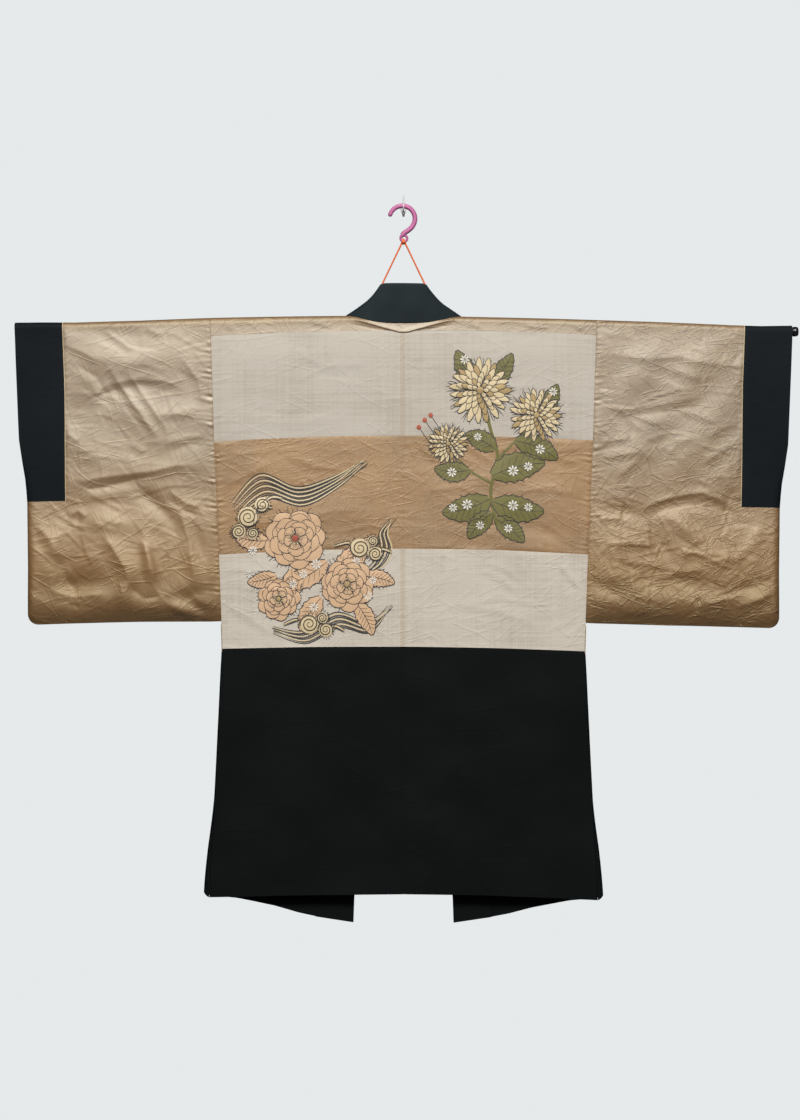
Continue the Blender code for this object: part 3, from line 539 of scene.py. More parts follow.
WALL_ROOM = 0.0222              # most that a sleeve can swell towards the wall
LEFT_SMALL = scattered_creases(11, 170, (0.33, 0.63, 0.02, 0.50), 0.055, 0.00045, -0.35)
RIGHT_SMALL = scattered_creases(12, 230, (0.33, 0.63, 0.02, 0.50), 0.055, 0.00060, 0.25)
MIDDLE_SMALL = scattered_creases(13, 240, (-0.31, 0.31, 0.21, 0.395), 0.055, 0.00036, 0.1)
PALE_SMALL = scattered_creases(14, 90, (-0.31, 0.31, 0.03, 0.56), 0.055, 0.00050, 0.2)
FRONT_SMALL = scattered_creases(15, 90, (0.16, 0.32, 0.02, 0.55), 0.045, 0.0009, 0.6)
FRONT_CREASES = metres((
    (6.5, 1.6, (170, 90), (220, 120), (300, 110)),
    (6, -1.4, (165, 240), (230, 225), (305, 245)),
    (6.5, 1.5, (180, 400), (230, 370), (295, 385)),
    (5.5, 1.2, (175, 500), (215, 470), (260, 480)),
))


def back_detail(out, depth):
    """Creases, puckers and seam dips of the back's lining."""
    inward = read(BODY_EDGE, depth) - np.abs(out)
    share = np.abs(out) / read(BODY_EDGE, depth)
    upper, lower = cross_line(UPPER_LINE, share), LOWER_LINE[0]
    in_middle = (depth > upper) & (depth < MIDDLE_LINE[0])
    in_black = depth > lower
    calm = ease((depth - 0.010) / 0.020) * ease(inward / 0.012)
    pale = crease_height(PALE_CREASES + PALE_SMALL, out, depth)
    middle = CREASING_MIDDLE * crease_height(MIDDLE_CREASES + MIDDLE_SMALL, out, depth)
    middle = middle + SWELLING_MIDDLE * swell_height(MIDDLE_SWELLS, out, depth)
    black = crease_height(BLACK_CREASES, out, depth) + undulation(22, out, depth, 0.0004)
    detail = np.where(in_black, black, np.where(in_middle, middle, pale))
    nearest = np.min([np.abs(depth - line) for line in
                      (TOP_LINE[0], upper, MIDDLE_LINE[0], lower)], axis=0)
    detail = calm * detail * ease(nearest / 0.010)
    detail += calm * undulation(21, out, depth, 0.0005) * ease(nearest / 0.006)
    detail += puckers(inward, depth, 31, np.where(in_black, 0.0001, 0.0006))
    detail += groove(inward) + groove(nearest, 0.00025, 0.0016)
    detail += groove(np.abs(out), np.where(in_black, 0.0010, 0.0003), 0.0016)
    detail += 0.0007 * np.exp((depth - lower) / 0.0016) * (depth <= lower)
    detail += puckers(nearest, out, 32, 0.00018, 0.012, 0.007)
    detail += puckers(np.abs(out), depth, 33, 0.0002, 0.011, 0.007)
    return detail


def back_gap(out, depth):
    """The back with its fine form."""
    return body_gap(out, depth, NEAR) + back_detail(out, depth)


def sleeve_detail(out, depth, creases, swells, creasing, seed, gathers):
    """Creases, swells, gathers and seam dips of one side of a sleeve."""
    inward = out - read(BODY_EDGE, depth)
    from_cuff = np.where(depth < CUFF_DEPTH + 0.004, read(CUFF_SEAM, depth) - out, 1.0)
    edge = np.minimum(sleeve_edge(depth) - out, SLEEVE_DEPTH - depth)
    calm = ease((depth - 0.006) / 0.020) * ease(inward / 0.010)
    calm = calm * ease(from_cuff / 0.008) * ease((edge - 0.002) / 0.018)
    detail = crease_height(creases, out, depth) + swell_height(swells, out, depth)
    rumpled = mix(creasing, CREASING_BELOW, ease((depth - 0.20) / 0.16))
    detail = calm * (rumpled * detail + undulation(seed, out, depth, 0.0008))
    detail += BOTTOM_SWELL * ease((depth - 0.30) / 0.15) * ease(inward / 0.025)
    detail += puckers(inward, depth, seed + 1, gathers)
    detail += groove(inward, 0.0013, 0.0020) + groove(np.minimum(from_cuff, 1.0), 0.0006)
    detail += puckers(from_cuff, depth, seed + 2, 0.00030, 0.013, 0.008)
    detail += ease(edge / 0.002) * puckers(edge, out + depth, seed + 3, 0.00045, 0.018, 0.016)
    return detail


# ---------------------------------------------------------------- shader groups
FLOAT, COLOR, VECTOR = "NodeSocketFloat", "NodeSocketColor", "NodeSocketVector"


def feed(tree, socket, value):
    """Gives a socket what another one puts out, or a constant."""
    if isinstance(value, bpy.types.NodeSocket):
        tree.links.new(value, socket)
    elif value is not None:
        socket.default_value = (*value[:3], 1.0) if socket.type == "RGBA" else value


def add_node(tree, kind, **inputs):
    node = tree.nodes.new(kind)
    for label, value in inputs.items():
        feed(tree, node.inputs[label], value)
    return node


def new_group(name, inputs, outputs):
    """An empty shader group. Each input is given as its kind, or as the number it starts with."""
    group = bpy.data.node_groups.new(name, "ShaderNodeTree")
    for label, kind in inputs.items():
        number = not isinstance(kind, str)
        socket = group.interface.new_socket(label, in_out="INPUT", socket_type=FLOAT if number else kind)
        if number:
            socket.default_value = kind
    for label, kind in outputs.items():
        group.interface.new_socket(label, in_out="OUTPUT", socket_type=kind)
    given, result = group.nodes.new("NodeGroupInput"), group.nodes.new("NodeGroupOutput")
    return group, given.outputs, result.inputs


def math_node(tree, operation, *values):
    node = tree.nodes.new("ShaderNodeMath")
    node.operation = operation
    for socket, value in zip(node.inputs, values):
        feed(tree, socket, value)
    return node.outputs[0]


def scaled(tree, vector, scale):
    """The vector times three fixed numbers, or times one number's socket."""
    node = tree.nodes.new("ShaderNodeVectorMath")
    single = isinstance(scale, bpy.types.NodeSocket)
    node.operation = "SCALE" if single else "MULTIPLY"
    feed(tree, node.inputs[0], vector)
    feed(tree, node.inputs["Scale" if single else 1], scale)
    return node.outputs[0]


def noise(tree, vector, scale, detail=2.0, roughness=0.5, distortion=0.0):
    return add_node(tree, "ShaderNodeTexNoise", Vector=vector, Scale=scale, Detail=detail,
                    Roughness=roughness, Distortion=distortion).outputs["Fac"]


# Heights between which the silk changes
# Lower down the sleeves the satin turns lighter; at the very foot it darkens again, painted shade where
# the foot faces down
LIGHTER_BELOW, PAINTED_FOOT_SHADE = (-0.38, -0.55), (-0.685, -0.60)
# Less coat gloss lower down: with the lighter colour it stands in for the sheen that the drape and the
# light's angle take away there, painted shade
DULLED, DULLED_FOOT = (-0.37, -0.51), (-0.53, -0.62)
# Less gloss just under the shoulder line takes out the highlight there: painted shade
SHOULDER_HIGHLIGHT_DIMMED = (SHOULDER_Z - 0.018, SHOULDER_Z - 0.005)
# The collar is lighter at the neck, painted light where it faces up; between these heights it turns to
# its deeper colour
LIT_COLLAR_NECK_BELOW = (-0.14, -0.62)


def component(tree, vector, letter):
    return add_node(tree, "ShaderNodeSeparateXYZ", Vector=vector).outputs[letter]


def spread(tree, value, near, far, least=0.0, most=1.0, interpolation="LINEAR"):
    """The least where the value is near, the most where it is far, and between them a slope."""
    node = tree.nodes.new("ShaderNodeMapRange")
    node.interpolation_type = interpolation
    for label, size in {"Value": value, "From Min": near, "From Max": far, "To Min": least,
                        "To Max": most}.items():
        feed(tree, node.inputs[label], size)
    return node.outputs["Result"]


def blend(tree, share, one, other):
    """A colour between two."""
    node = tree.nodes.new("ShaderNodeMix")
    node.data_type = "RGBA"
    for label, value in (("Factor", share), ("A", one), ("B", other)):
        feed(tree, node.inputs[label], value)
    return node.outputs["Result"]


def make_threads():
    """Warp and weft: uneven threads along X and along Z, with a slub here and there."""
    group, given, result = new_group("threads", {"Vector": VECTOR, "Pitch": 0.0005},
                                     {"Height": FLOAT, "Slub": FLOAT})
    place = given["Vector"]
    threads = scaled(group, place, math_node(group, "DIVIDE", 1.0, given["Pitch"]))
    weft = noise(group, scaled(group, threads, (0.035, 0.1, 1.0)), 1.0, 1.0)
    warp = noise(group, scaled(group, threads, (1.0, 0.1, 0.035)), 1.0, 1.0)
    slubs = noise(group, scaled(group, place, (9.0, 9.0, 420.0)), 1.0)
    bars = noise(group, scaled(group, place, (260.0, 9.0, 5.0)), 1.0)
    slubs = math_node(group, "MULTIPLY_ADD", bars, 0.6, slubs)
    feed(group, result["Height"], math_node(group, "ADD", weft, math_node(group, "MULTIPLY", warp, 0.8)))
    feed(group, result["Slub"], math_node(group, "SUBTRACT", slubs, 0.60))
    return group


def make_crinkle():
    """Fine pressed crests of silk that has lain folded: long thin lines along several ways."""
    group, given, result = new_group("crinkle", {"Vector": VECTOR, "Size": 0.03}, {"Height": FLOAT})
    place = scaled(group, given["Vector"], math_node(group, "DIVIDE", 1.0, given["Size"]))
    height = math_node(group, "MULTIPLY", noise(group, place, 0.9, 3.0, 0.55), 1.5)
    for turn, length, width, strength in ((0.15, 0.20, 1.5, 1.0), (-0.40, 0.24, 1.3, 1.0),
                                          (0.75, 0.30, 1.6, 0.8), (-1.15, 0.34, 1.7, 0.6),
                                          (0.40, 0.30, 2.4, 0.7)):
        turned = add_node(group, "ShaderNodeVectorRotate", Vector=place, Angle=turn)
        turned.rotation_type = "Y_AXIS"
        run = turned.outputs[0]
        waves = noise(group, scaled(group, run, (length, 1.0, width)), 1.0, 1.0, 0.4, 0.3)
        away = math_node(group, "ABSOLUTE", math_node(group, "SUBTRACT", waves, 0.5))
        crest = math_node(group, "SUBTRACT", 1.0, math_node(group, "MULTIPLY", away, 24.0))
        crest = math_node(group, "MAXIMUM", crest, 0.0)
        where = noise(group, scaled(group, run, (0.55, 1.0, 0.9)), 1.0, 1.0)
        where = math_node(group, "MAXIMUM", math_node(group, "SUBTRACT", where, 0.47), 0.0)
        where = math_node(group, "MINIMUM", math_node(group, "MULTIPLY", where, 7.0), strength)
        height = math_node(group, "ADD", height, math_node(group, "MULTIPLY", crest, where))
    feed(group, result["Height"], height)
    return group


def make_tone():
    """A slow change from one colour to another over the cloth."""
    group, given, result = new_group(
        "tone", {"Vector": VECTOR, "Dark": COLOR, "Light": COLOR, "Share": 0.0}, {"Color": COLOR})
    cloud = math_node(group, "ADD", noise(group, given["Vector"], 7.0, 3.0, 0.6), given["Share"])
    share = spread(group, cloud, 0.3, 0.7)
    feed(group, result["Color"], blend(group, share, given["Dark"], given["Light"]))
    return group


def make_allowance():
    """Where a seam's turned-in edges show through thin cloth: a band along the centre line."""
    group, given, result = new_group(
        "allowance", {"Vector": VECTOR, "Middle": 0.0, "Half Width": 0.004, "Color": COLOR,
                      "Shade": COLOR, "Strength": 0.5}, {"Color": COLOR})
    away = math_node(group, "SUBTRACT", component(group, given["Vector"], "X"), given["Middle"])
    away = math_node(group, "DIVIDE", math_node(group, "ABSOLUTE", away), given["Half Width"])
    share = math_node(group, "MULTIPLY", spread(group, away, 1.15, 0.85), given["Strength"])
    feed(group, result["Color"], blend(group, share, given["Color"], given["Shade"]))
    return group


def make_lower_sleeves():
    """Painted shade on the satin: lower down the sleeves a lighter colour and less coat gloss together
    stand in for the sheen that the drape and the light's angle take away there; at the very foot the
    colour darkens again, painted shade where the foot faces down. Just under the shoulder line the gloss
    is dimmed to take out the highlight there."""
    group, given, result = new_group("aged", {"Vector": VECTOR, "Color": COLOR, "Aged": COLOR},
                                     {"Color": COLOR, "Gloss": FLOAT})
    x, z = (component(group, given["Vector"], letter) for letter in "XZ")
    # Share of the lighter colour lower down, falling back at the very foot as painted shade
    lower_share = math_node(group, "MULTIPLY", spread(group, z, *LIGHTER_BELOW),
                        spread(group, z, *PAINTED_FOOT_SHADE, 0.3, 1.0))
    gloss = math_node(group, "MULTIPLY", spread(group, z, *DULLED, 1.0, 0.42),
                      spread(group, z, *DULLED_FOOT, 1.0, 0.1))
    # The gloss is dimmed just under the shoulder line to take out the highlight there
    rise = math_node(group, "MULTIPLY_ADD", math_node(group, "MULTIPLY", x, x), 0.040, z)
    highlight_dimmed = spread(group, rise, *SHOULDER_HIGHLIGHT_DIMMED, 1.0, 0.15)
    feed(group, result["Gloss"], math_node(group, "MULTIPLY", gloss, highlight_dimmed))
    feed(group, result["Color"], blend(group, lower_share, given["Color"], given["Aged"]))
    return group


def make_lit_collar_neck():
    """The collar lighter at the neck, painted light where it faces up, and deeper down the fronts."""
    group, given, result = new_group("lit_collar_neck", {"Vector": VECTOR, "Color": COLOR, "Deeper": COLOR},
                                     {"Color": COLOR})
    share = spread(group, component(group, given["Vector"], "Z"), *LIT_COLLAR_NECK_BELOW)
    feed(group, result["Color"], blend(group, share, given["Color"], given["Deeper"]))
    return group


THREADS, CRINKLE, TONE, ALLOWANCE = make_threads(), make_crinkle(), make_tone(), make_allowance()
LOWER_SLEEVES, LIT_COLLAR_NECK = make_lower_sleeves(), make_lit_collar_neck()


# ---------------------------------------------------------------- materials
def new_material(name, roughness, metallic=0.0, **constants):
    made = bpy.data.materials.new(name)
    made.use_nodes = True
    shader = made.node_tree.nodes["Principled BSDF"]
    for label, value in {"Roughness": roughness, "Metallic": metallic, **constants}.items():
        feed(made.node_tree, shader.inputs[label.replace("_", " ")], value)
    return made, made.node_tree, shader


def add_group(tree, group, vector, **values):
    node = tree.nodes.new("ShaderNodeGroup")
    node.node_tree = group
    for label, value in {"Vector": vector, **values}.items():
        feed(tree, node.inputs[label], value)
    return node.outputs


def add_bump(tree, height, distance, strength=1.0, below=None):
    return add_node(tree, "ShaderNodeBump", Distance=distance, Strength=strength, Height=height,
                    Normal=below).outputs["Normal"]


def object_place(tree):
    return tree.nodes.new("ShaderNodeTexCoord").outputs["Object"]


def cloth_material(name, dark, light, roughness, pitch, weave, crinkle, size, slub=0.0,
                   allowance=None, aged=None, deeper=None, **constants):
    """A woven cloth: slow tone, threads, fine creases. weave and crinkle are bump heights; aged is the
    lighter colour lower down the sleeves, part of the painted shade there, deeper that of the collar's
    fronts below its painted-light neck."""
    made, tree, shader = new_material(name, roughness, **constants)
    place = object_place(tree)
    threads = add_group(tree, THREADS, place, Pitch=pitch)
    share = math_node(tree, "MULTIPLY", threads["Slub"], slub)
    color = add_group(tree, TONE, place, Dark=dark, Light=light, Share=share)["Color"]
    # Lower on the sleeves: lighter colour and less coat gloss, with painted shade at the foot and a
    # highlight taken out under the shoulder
    if aged:
        worn = add_group(tree, LOWER_SLEEVES, place, Color=color, Aged=aged)
        color = worn["Color"]
        feed(tree, shader.inputs["Coat Weight"], worn["Gloss"])
    # The collar: painted light at the neck, its deeper colour down the fronts
    if deeper:
        color = add_group(tree, LIT_COLLAR_NECK, place, Color=color, Deeper=deeper)["Color"]
    if allowance:
        band = add_group(tree, ALLOWANCE, place, Color=color, Shade=allowance, Middle=-0.0014)
        color = band["Color"]
    feed(tree, shader.inputs["Base Color"], color)
    normal = add_bump(tree, threads["Height"], weave)
    if crinkle:
        creases = add_group(tree, CRINKLE, place, Size=size)
        normal = add_bump(tree, creases["Height"], crinkle, below=normal)
    feed(tree, shader.inputs["Normal"], normal)
    return made


def thread_material(name, dark, light, sheen=0.3):
    """Embroidery silk: fine stitches that run along each shape's own length."""
    made, tree, shader = new_material(name, 0.50, 0.05, Sheen_Weight=sheen)
    uv = tree.nodes.new("ShaderNodeTexCoord").outputs["UV"]
    stitches = noise(tree, scaled(tree, uv, (3.0, 26.0, 1.0)), 1.0)
    feed(tree, shader.inputs["Base Color"], blend(tree, stitches, dark, light))
    feed(tree, shader.inputs["Normal"], add_bump(tree, stitches, 0.0004, 0.8))
    return made


def plastic_material(name, color, roughness, **constants):
    """Moulded plastic with faint scuffs."""
    made, tree, shader = new_material(name, roughness, **constants)
    place = object_place(tree)
    tone = add_group(tree, TONE, scaled(tree, place, (8.0, 8.0, 8.0)),
                     Dark=[0.8 * part for part in color], Light=color)
    feed(tree, shader.inputs["Base Color"], tone["Color"])
    scuffs = noise(tree, place, 260.0, 3.0, 0.6)
    feed(tree, shader.inputs["Normal"], add_bump(tree, scuffs, 0.00002, 0.3))
    return made


def steel_material():
    made, tree, shader = new_material("steel", 0.50, 0.45)
    place = object_place(tree)
    tone = add_group(tree, TONE, scaled(tree, place, (12.0, 12.0, 12.0)),
                     Dark=(0.72, 0.73, 0.72), Light=(0.88, 0.89, 0.88))
    feed(tree, shader.inputs["Base Color"], tone["Color"])
    brushed = noise(tree, scaled(tree, place, (900.0, 900.0, 60.0)), 1.0)
    feed(tree, shader.inputs["Normal"], add_bump(tree, brushed, 0.00004, 0.6))
    return made


SATIN_COLORS = (0.112, 0.0465, 0.0092), (0.142, 0.0595, 0.0110)
# aged: the lighter colour lower down the sleeves, part of their painted shade
SATIN_FINISH = {"slub": 0.45, "aged": (0.190, 0.0800, 0.0152), "IOR": 1.86, "Coat_IOR": 2.10,
                "Coat_Roughness": 0.60, "Specular_IOR_Level": 1.0, "Specular_Tint": (1.0, 0.92, 0.66)}
SATIN = cloth_material("satin", *SATIN_COLORS, 0.60, 0.0004, 0.00022, 0.00042, 0.034, **SATIN_FINISH)
CREASED_SATIN = cloth_material("creased_satin", *SATIN_COLORS, 0.60, 0.0004, 0.00026, 0.00056, 0.020,
                               **SATIN_FINISH)
BROWN_SATIN = cloth_material("brown_satin", (0.160, 0.066, 0.0128), (0.255, 0.110, 0.0222), 0.60,
                             0.0004, 0.00022, 0.00022, 0.028, slub=0.45, IOR=1.86,
                             Specular_IOR_Level=1.0, Specular_Tint=(1.0, 0.95, 0.77))
PALE_WEAVE = cloth_material("pale_weave", (0.400, 0.355, 0.300), (0.475, 0.435, 0.378), 0.75,
                            0.0006, 0.00024, 0.00026, 0.046, slub=0.8, allowance=(0.40, 0.32, 0.23))
LOWER_WEAVE = cloth_material("lower_weave", (0.450, 0.398, 0.332), (0.540, 0.492, 0.423), 0.75,
                             0.0006, 0.00028, 0.00034, 0.040, slub=0.9, allowance=(0.44, 0.35, 0.25))
BLACK_SILK = cloth_material("black_silk", (0.0044, 0.0052, 0.0055), (0.0064, 0.0074, 0.0079), 0.60,
                            0.0005, 0.00010, 0.00015, 0.060, Specular_IOR_Level=0.045)
CUFF_SILK = cloth_material("cuff_silk", (0.0066, 0.0090, 0.0112), (0.0092, 0.0122, 0.0148), 0.60,
                           0.0005, 0.00010, 0.00015, 0.060, Specular_IOR_Level=0.045)
# The collar's colours, lighter than the black silk, are painted light where it faces up at the neck
COLLAR_SILK = cloth_material("collar_silk", (0.011, 0.017, 0.020), (0.016, 0.024, 0.028), 0.55, 0.0005,
                             0.00008, 0.0001, 0.050, deeper=(0.0050, 0.0060, 0.0064),
                             Specular_IOR_Level=0.06)
# A lighter strip along the sleeve's edge at the cuff's opening: painted highlight where the folded edge
# catches the light
EDGE_HIGHLIGHT = cloth_material("painted_edge_highlight", (0.42, 0.33, 0.19), (0.52, 0.42, 0.26), 0.5, 0.0004, 0.00006,
                           0.0, 0.03)
CREAM = thread_material("cream_thread", (0.52, 0.40, 0.22), (0.74, 0.62, 0.40))
GOLD = thread_material("gold_thread", (0.30, 0.20, 0.08), (0.50, 0.36, 0.16), 0.5)
OLIVE = thread_material("olive_thread", (0.105, 0.095, 0.020), (0.200, 0.178, 0.050))
PEACH = thread_material("peach_thread", (0.52, 0.32, 0.18), (0.70, 0.48, 0.30))
DARK = thread_material("dark_thread", (0.018, 0.016, 0.018), (0.055, 0.048, 0.048))
WHITE = thread_material("white_thread", (0.62, 0.60, 0.54), (0.82, 0.80, 0.74))
RED = thread_material("red_thread", (0.30, 0.05, 0.03), (0.45, 0.10, 0.05))
CORD_ORANGE = thread_material("cord_orange", (0.66, 0.120, 0.026), (0.82, 0.180, 0.045), 0.0)
ROD_PLASTIC = plastic_material("rod_plastic", (0.010, 0.012, 0.018), 0.22)
HOOK_PLASTIC = plastic_material("hook_plastic", (0.50, 0.12, 0.31), 0.42)
STRIP_PAINT = plastic_material("strip_paint", (0.60, 0.62, 0.62), 0.9, Specular_IOR_Level=0.1)
STEEL = steel_material()


# ---------------------------------------------------------------- helpers for pieces
def to_mesh(bm, name):
    mesh = bpy.data.meshes.new(name)
    bm.to_mesh(mesh)
    bm.free()
    return mesh


def to_scene(name, data):
    made = bpy.data.objects.new(name, data)
    bpy.context.scene.collection.objects.link(made)
    return made


def add_piece(name, mesh, materials, slot, *nodes):
    for made in materials:
        mesh.materials.append(made)
    piece = to_scene(name, mesh)
    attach(piece, "root")
    if nodes:
        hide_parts(*nodes)
    return piece


def cloth_piece(node, across, along, place, outer, slot, inner=None,
                cut_away=None, thickness=SHELL, trim=None):
    """A thin shell on a solid's form, from a grid of across by along points. cut_away tells by
    column and row where the grid ends; trim is a second material and tells where it shows."""
    across, along = np.asarray(across, float), np.asarray(along, float)
    columns, rows = len(across) - 1, len(along) - 1
    bm = bmesh.new()
    bmesh.ops.create_grid(bm, x_segments=columns, y_segments=rows, size=0.5)
    gone = []
    for face in bm.faces:
        centre = face.calc_center_median()
        cell = int((centre.x + 0.5) * columns), int((centre.y + 0.5) * rows)
        if cut_away and cut_away(*cell):
            gone.append(face)
        elif trim and trim[1](*cell):
            face.material_index = 2
    if gone:
        bmesh.ops.delete(bm, geom=gone, context="FACES")
    flat_places = np.array([vert.co for vert in bm.verts])
    column = np.rint((flat_places[:, 0] + 0.5) * columns).astype(int)
    row = np.rint((flat_places[:, 1] + 0.5) * rows).astype(int)
    for vert, point in zip(bm.verts, place(across[column], along[row])):
        vert.co = point
    bmesh.ops.remove_doubles(bm, verts=bm.verts, dist=0.00001)
    bm.normal_update()
    outward = sum(face.normal.y * (face.calc_center_median().y - HANG_Y) for face in bm.faces)
    if outward < 0:
        bmesh.ops.reverse_faces(bm, faces=bm.faces)
    for edge in bm.edges:
        edge.smooth = not edge.is_boundary
    mesh = to_mesh(bm, f"{node}_cloth")
    mesh.shade_smooth()
    inner = inner or BLACK_SILK
    second = trim[0] if trim else outer
    piece = add_piece(f"{node}_cloth", mesh, (outer, inner, second, inner), slot, node)
    wall = piece.modifiers.new("wall", "SOLIDIFY")
    wall.thickness = thickness
    wall.offset = 0.0
    wall.material_offset = 1
    return piece


def even(start, end, size):
    """Values from start to end, about a size apart."""
    return np.linspace(start, end, max(2, round(abs(end - start) / size)) + 1)


# ---------------------------------------------------------------- back
def back_panel(node, side, upper, lower, cell, outer, slot):
    def place(share, down):
        depth = mix(cross_line(upper, share) + SEAM / 2, cross_line(lower, share) - SEAM / 2, down)
        out = side * mix(SEAM / 2, read(BODY_EDGE, depth) - SEAM / 2, share)
        return cloth_points(out, depth, -back_gap(out, depth))

    across = even(0, 1, cell / 0.32)
    along = even(0, 1, cell / (lower[0] - upper[0]))
    cloth_piece(node, across, along, place, outer, slot)


def build_back():
    for word, side in (("left", -1), ("right", 1)):
        back_panel(f"back_upper_{word}", side, TOP_LINE, UPPER_LINE, PALE_CELL, PALE_WEAVE,
                   "pale_weave")
        back_panel(f"back_middle_{word}", side, UPPER_LINE, MIDDLE_LINE, SATIN_CELL, BROWN_SATIN,
                   "brown_satin")
        back_panel(f"back_lower_{word}", side, MIDDLE_LINE, LOWER_LINE, PALE_CELL, LOWER_WEAVE,
                   "pale_weave")
        back_panel(f"back_hem_{word}", side, LOWER_LINE, BACK_HEM, BLACK_CELL, BLACK_SILK,
                   "black_silk")


# ---------------------------------------------------------------- fronts
def neck_depth(out):
    """Depth of the collar's seam below the shoulder line, at the neck's back."""
    return read([(row[0], max(-row[1], 0.0)) for row in COLLAR], out)


def collar_seam(depth):
    """Where the collar's seam runs down a front."""
    return read([(row[1], row[0]) for row in COLLAR if row[1] >= 0], depth)


def front_gap(out, depth, side):
    """The wall's side of a front, out being signed by its side."""
    inward = read(BODY_EDGE, depth) - np.abs(out)
    from_collar = np.abs(out) - collar_seam(depth)
    calm = ease((depth - 0.010) / 0.030) * ease(inward / 0.015) * ease(from_collar / 0.012)
    satin = crease_height(FRONT_CREASES + FRONT_SMALL, np.abs(out), depth)
    satin = satin + undulation(41 + side, out, depth, 0.0009)
    black = undulation(44 + side, out, depth, 0.0005)
    line = np.abs(depth - FRONT_FACING)
    detail = calm * np.where(depth < FRONT_FACING, satin, black) * ease(line / 0.010)
    detail += puckers(inward, depth, 45, np.where(depth < SLEEVE_DEPTH, 0.0008, 0.0001))
    detail += groove(inward) + groove(line, 0.0006, 0.0018) + groove(np.maximum(from_collar, 0))
    return body_gap(out, depth, WALL) + detail


STRIP_FOLD = metres((
    (0, 28.5), (9, 28), (17, 25.5), (40, 18.8), (56, 14.2), (84, 6.6), (105, 4.2), (330, 3.6),
))
STRIP_DROOP = 0.0030            # over the centre seam the fold hangs below the strip's seam


def strip_gap(out, depth):
    """The strip of lining below the collar, with the shallow fold that hangs from its ends."""
    share = ease((depth - 0.004) / 0.006)
    below = depth - read(STRIP_FOLD, np.abs(out))
    lip = np.where(below < 0, np.exp(below / 0.0050), np.exp(-below / 0.0010))
    wide = 1.0 - ease((np.abs(out) - 0.070) / 0.060)
    creases = crease_height(STRIP_CREASES, out, depth) + undulation(47, out, depth, 0.0004)
    return body_gap(out, depth, NEAR) + share * (0.0028 * lip * wide + creases)


def build_front_lining(word, side):
    neck_shares = np.linspace(-1, 0, 29)
    neck_columns = len(neck_shares) - 1
    foot = TOP_LINE[0] - SEAM / 2
    turn = turn_steps(10)
    strip = even(foot, TURN, STRIP_CELL)[:-1]
    over = np.concatenate([-strip, -turn[::-1], turn[1:],
                           even(TURN, FRONT_FACING - SEAM / 2, LINING_DROP_CELL)[1:]])
    strip_rows = len(strip) + len(turn) - 1
    across = np.concatenate([neck_shares[:-1], even(0, 1, LINING_CELL / 0.20)])

    def place(share, drop):
        neck_out = mix(SEAM / 2, NECK_HALF, share + 1)
        seam = neck_depth(neck_out) + SEAM
        droop = STRIP_DROOP * np.exp(-((neck_out / 0.013) ** 4))
        neck_drop = mix(seam, foot + droop, np.minimum(-drop / foot, 1.0))
        depth = np.abs(drop)
        inner = np.where(drop <= 0, NECK_HALF, collar_seam(depth) + SEAM)
        panel_out = mix(inner, read(BODY_EDGE, depth) - SEAM / 2, share)
        out = side * np.where(share < 0, neck_out, panel_out)
        depth = np.where(share < 0, neck_drop, depth)
        near = np.where(drop > 0, front_gap(out, depth, side), -strip_gap(out, depth))
        return cloth_points(out, depth, near)

    def cut_away(column, row):
        return column < neck_columns and row >= strip_rows

    cloth_piece(f"front_lining_{word}", across, over, place, SATIN, "satin",
                cut_away=cut_away)


def build_front_hem(word, side):
    top, foot = FRONT_FACING + SEAM / 2, COLLAR[-1][1]

    def place(share, drop):
        inner = collar_seam(drop) + SEAM
        out = mix(inner, read(BODY_EDGE, drop) - SEAM / 2, share)
        depth = drop - (foot - read(FRONT_HEM, out)) * (drop - top) / (foot - top)
        out = side * mix(inner, read(BODY_EDGE, depth) - SEAM / 2, share)
        return cloth_points(out, depth, front_gap(out, depth, side))

    cloth_piece(f"front_hem_{word}", even(0, 1, FRONT_HEM_CELL / 0.18),
                even(top, foot, FRONT_HEM_CELL), place,
                BLACK_SILK, "black_silk")


# ---------------------------------------------------------------- gussets, sleeves and cuffs
def build_gusset(word, side):
    foot = BACK_HEM[1]

    def place(angle, down):
        depth = mix(GUSSET_TOP, foot - GUSSET_RISE * np.cos(angle), down)
        stand = mix(*GUSSET_TIP, down) * np.maximum(np.cos(angle), 0.0) ** 0.7
        stand = stand * (0.15 + 0.85 * ease((depth - 0.80) / 0.17))
        stand = stand * ease((depth - LOWER_LINE[0] + 0.010) / 0.060)
        out = read(BODY_EDGE, depth) + SEAM / 2 + GUSSET_EASE + stand
        wobble = 0.0004 * np.cos(angle) * np.sin(depth * 60.0 + side)
        return cloth_points(side * out, depth, SEAM_HOLLOW * np.sin(angle) + wobble)

    down = even(0, 1, GUSSET_CELL / 0.46)
    lined = (LOWER_LINE[0] + 0.004 - GUSSET_TOP) / (foot - GUSSET_TOP) * (len(down) - 1)
    cloth_piece(f"gusset_{word}", np.linspace(-math.pi / 2, math.pi / 2, 19), down, place,
                BLACK_SILK, "black_silk",
                trim=(SATIN, lambda column, row: row + 0.5 < lined))


def sleeve_depths(cell):
    """Depths of one side of a sleeve from the rod down, and how many rows lie below the cuff."""
    opening = even(TURN, CUFF_DEPTH + SEAM / 2, cell)
    lower = even(CUFF_DEPTH + SEAM / 2, SLEEVE_DEPTH - EDGE_ROUND, cell)
    foot = SLEEVE_DEPTH - EDGE_ROUND * np.array([0.84, 0.69, 0.55, 0.42, 0.31, 0.21, 0.13, 0.07, 0.03,
                                                 0.01, 0.0])
    depths = np.concatenate([turn_steps(10), opening[1:], lower[1:], foot])
    return depths, len(lower) - 1 + len(foot)


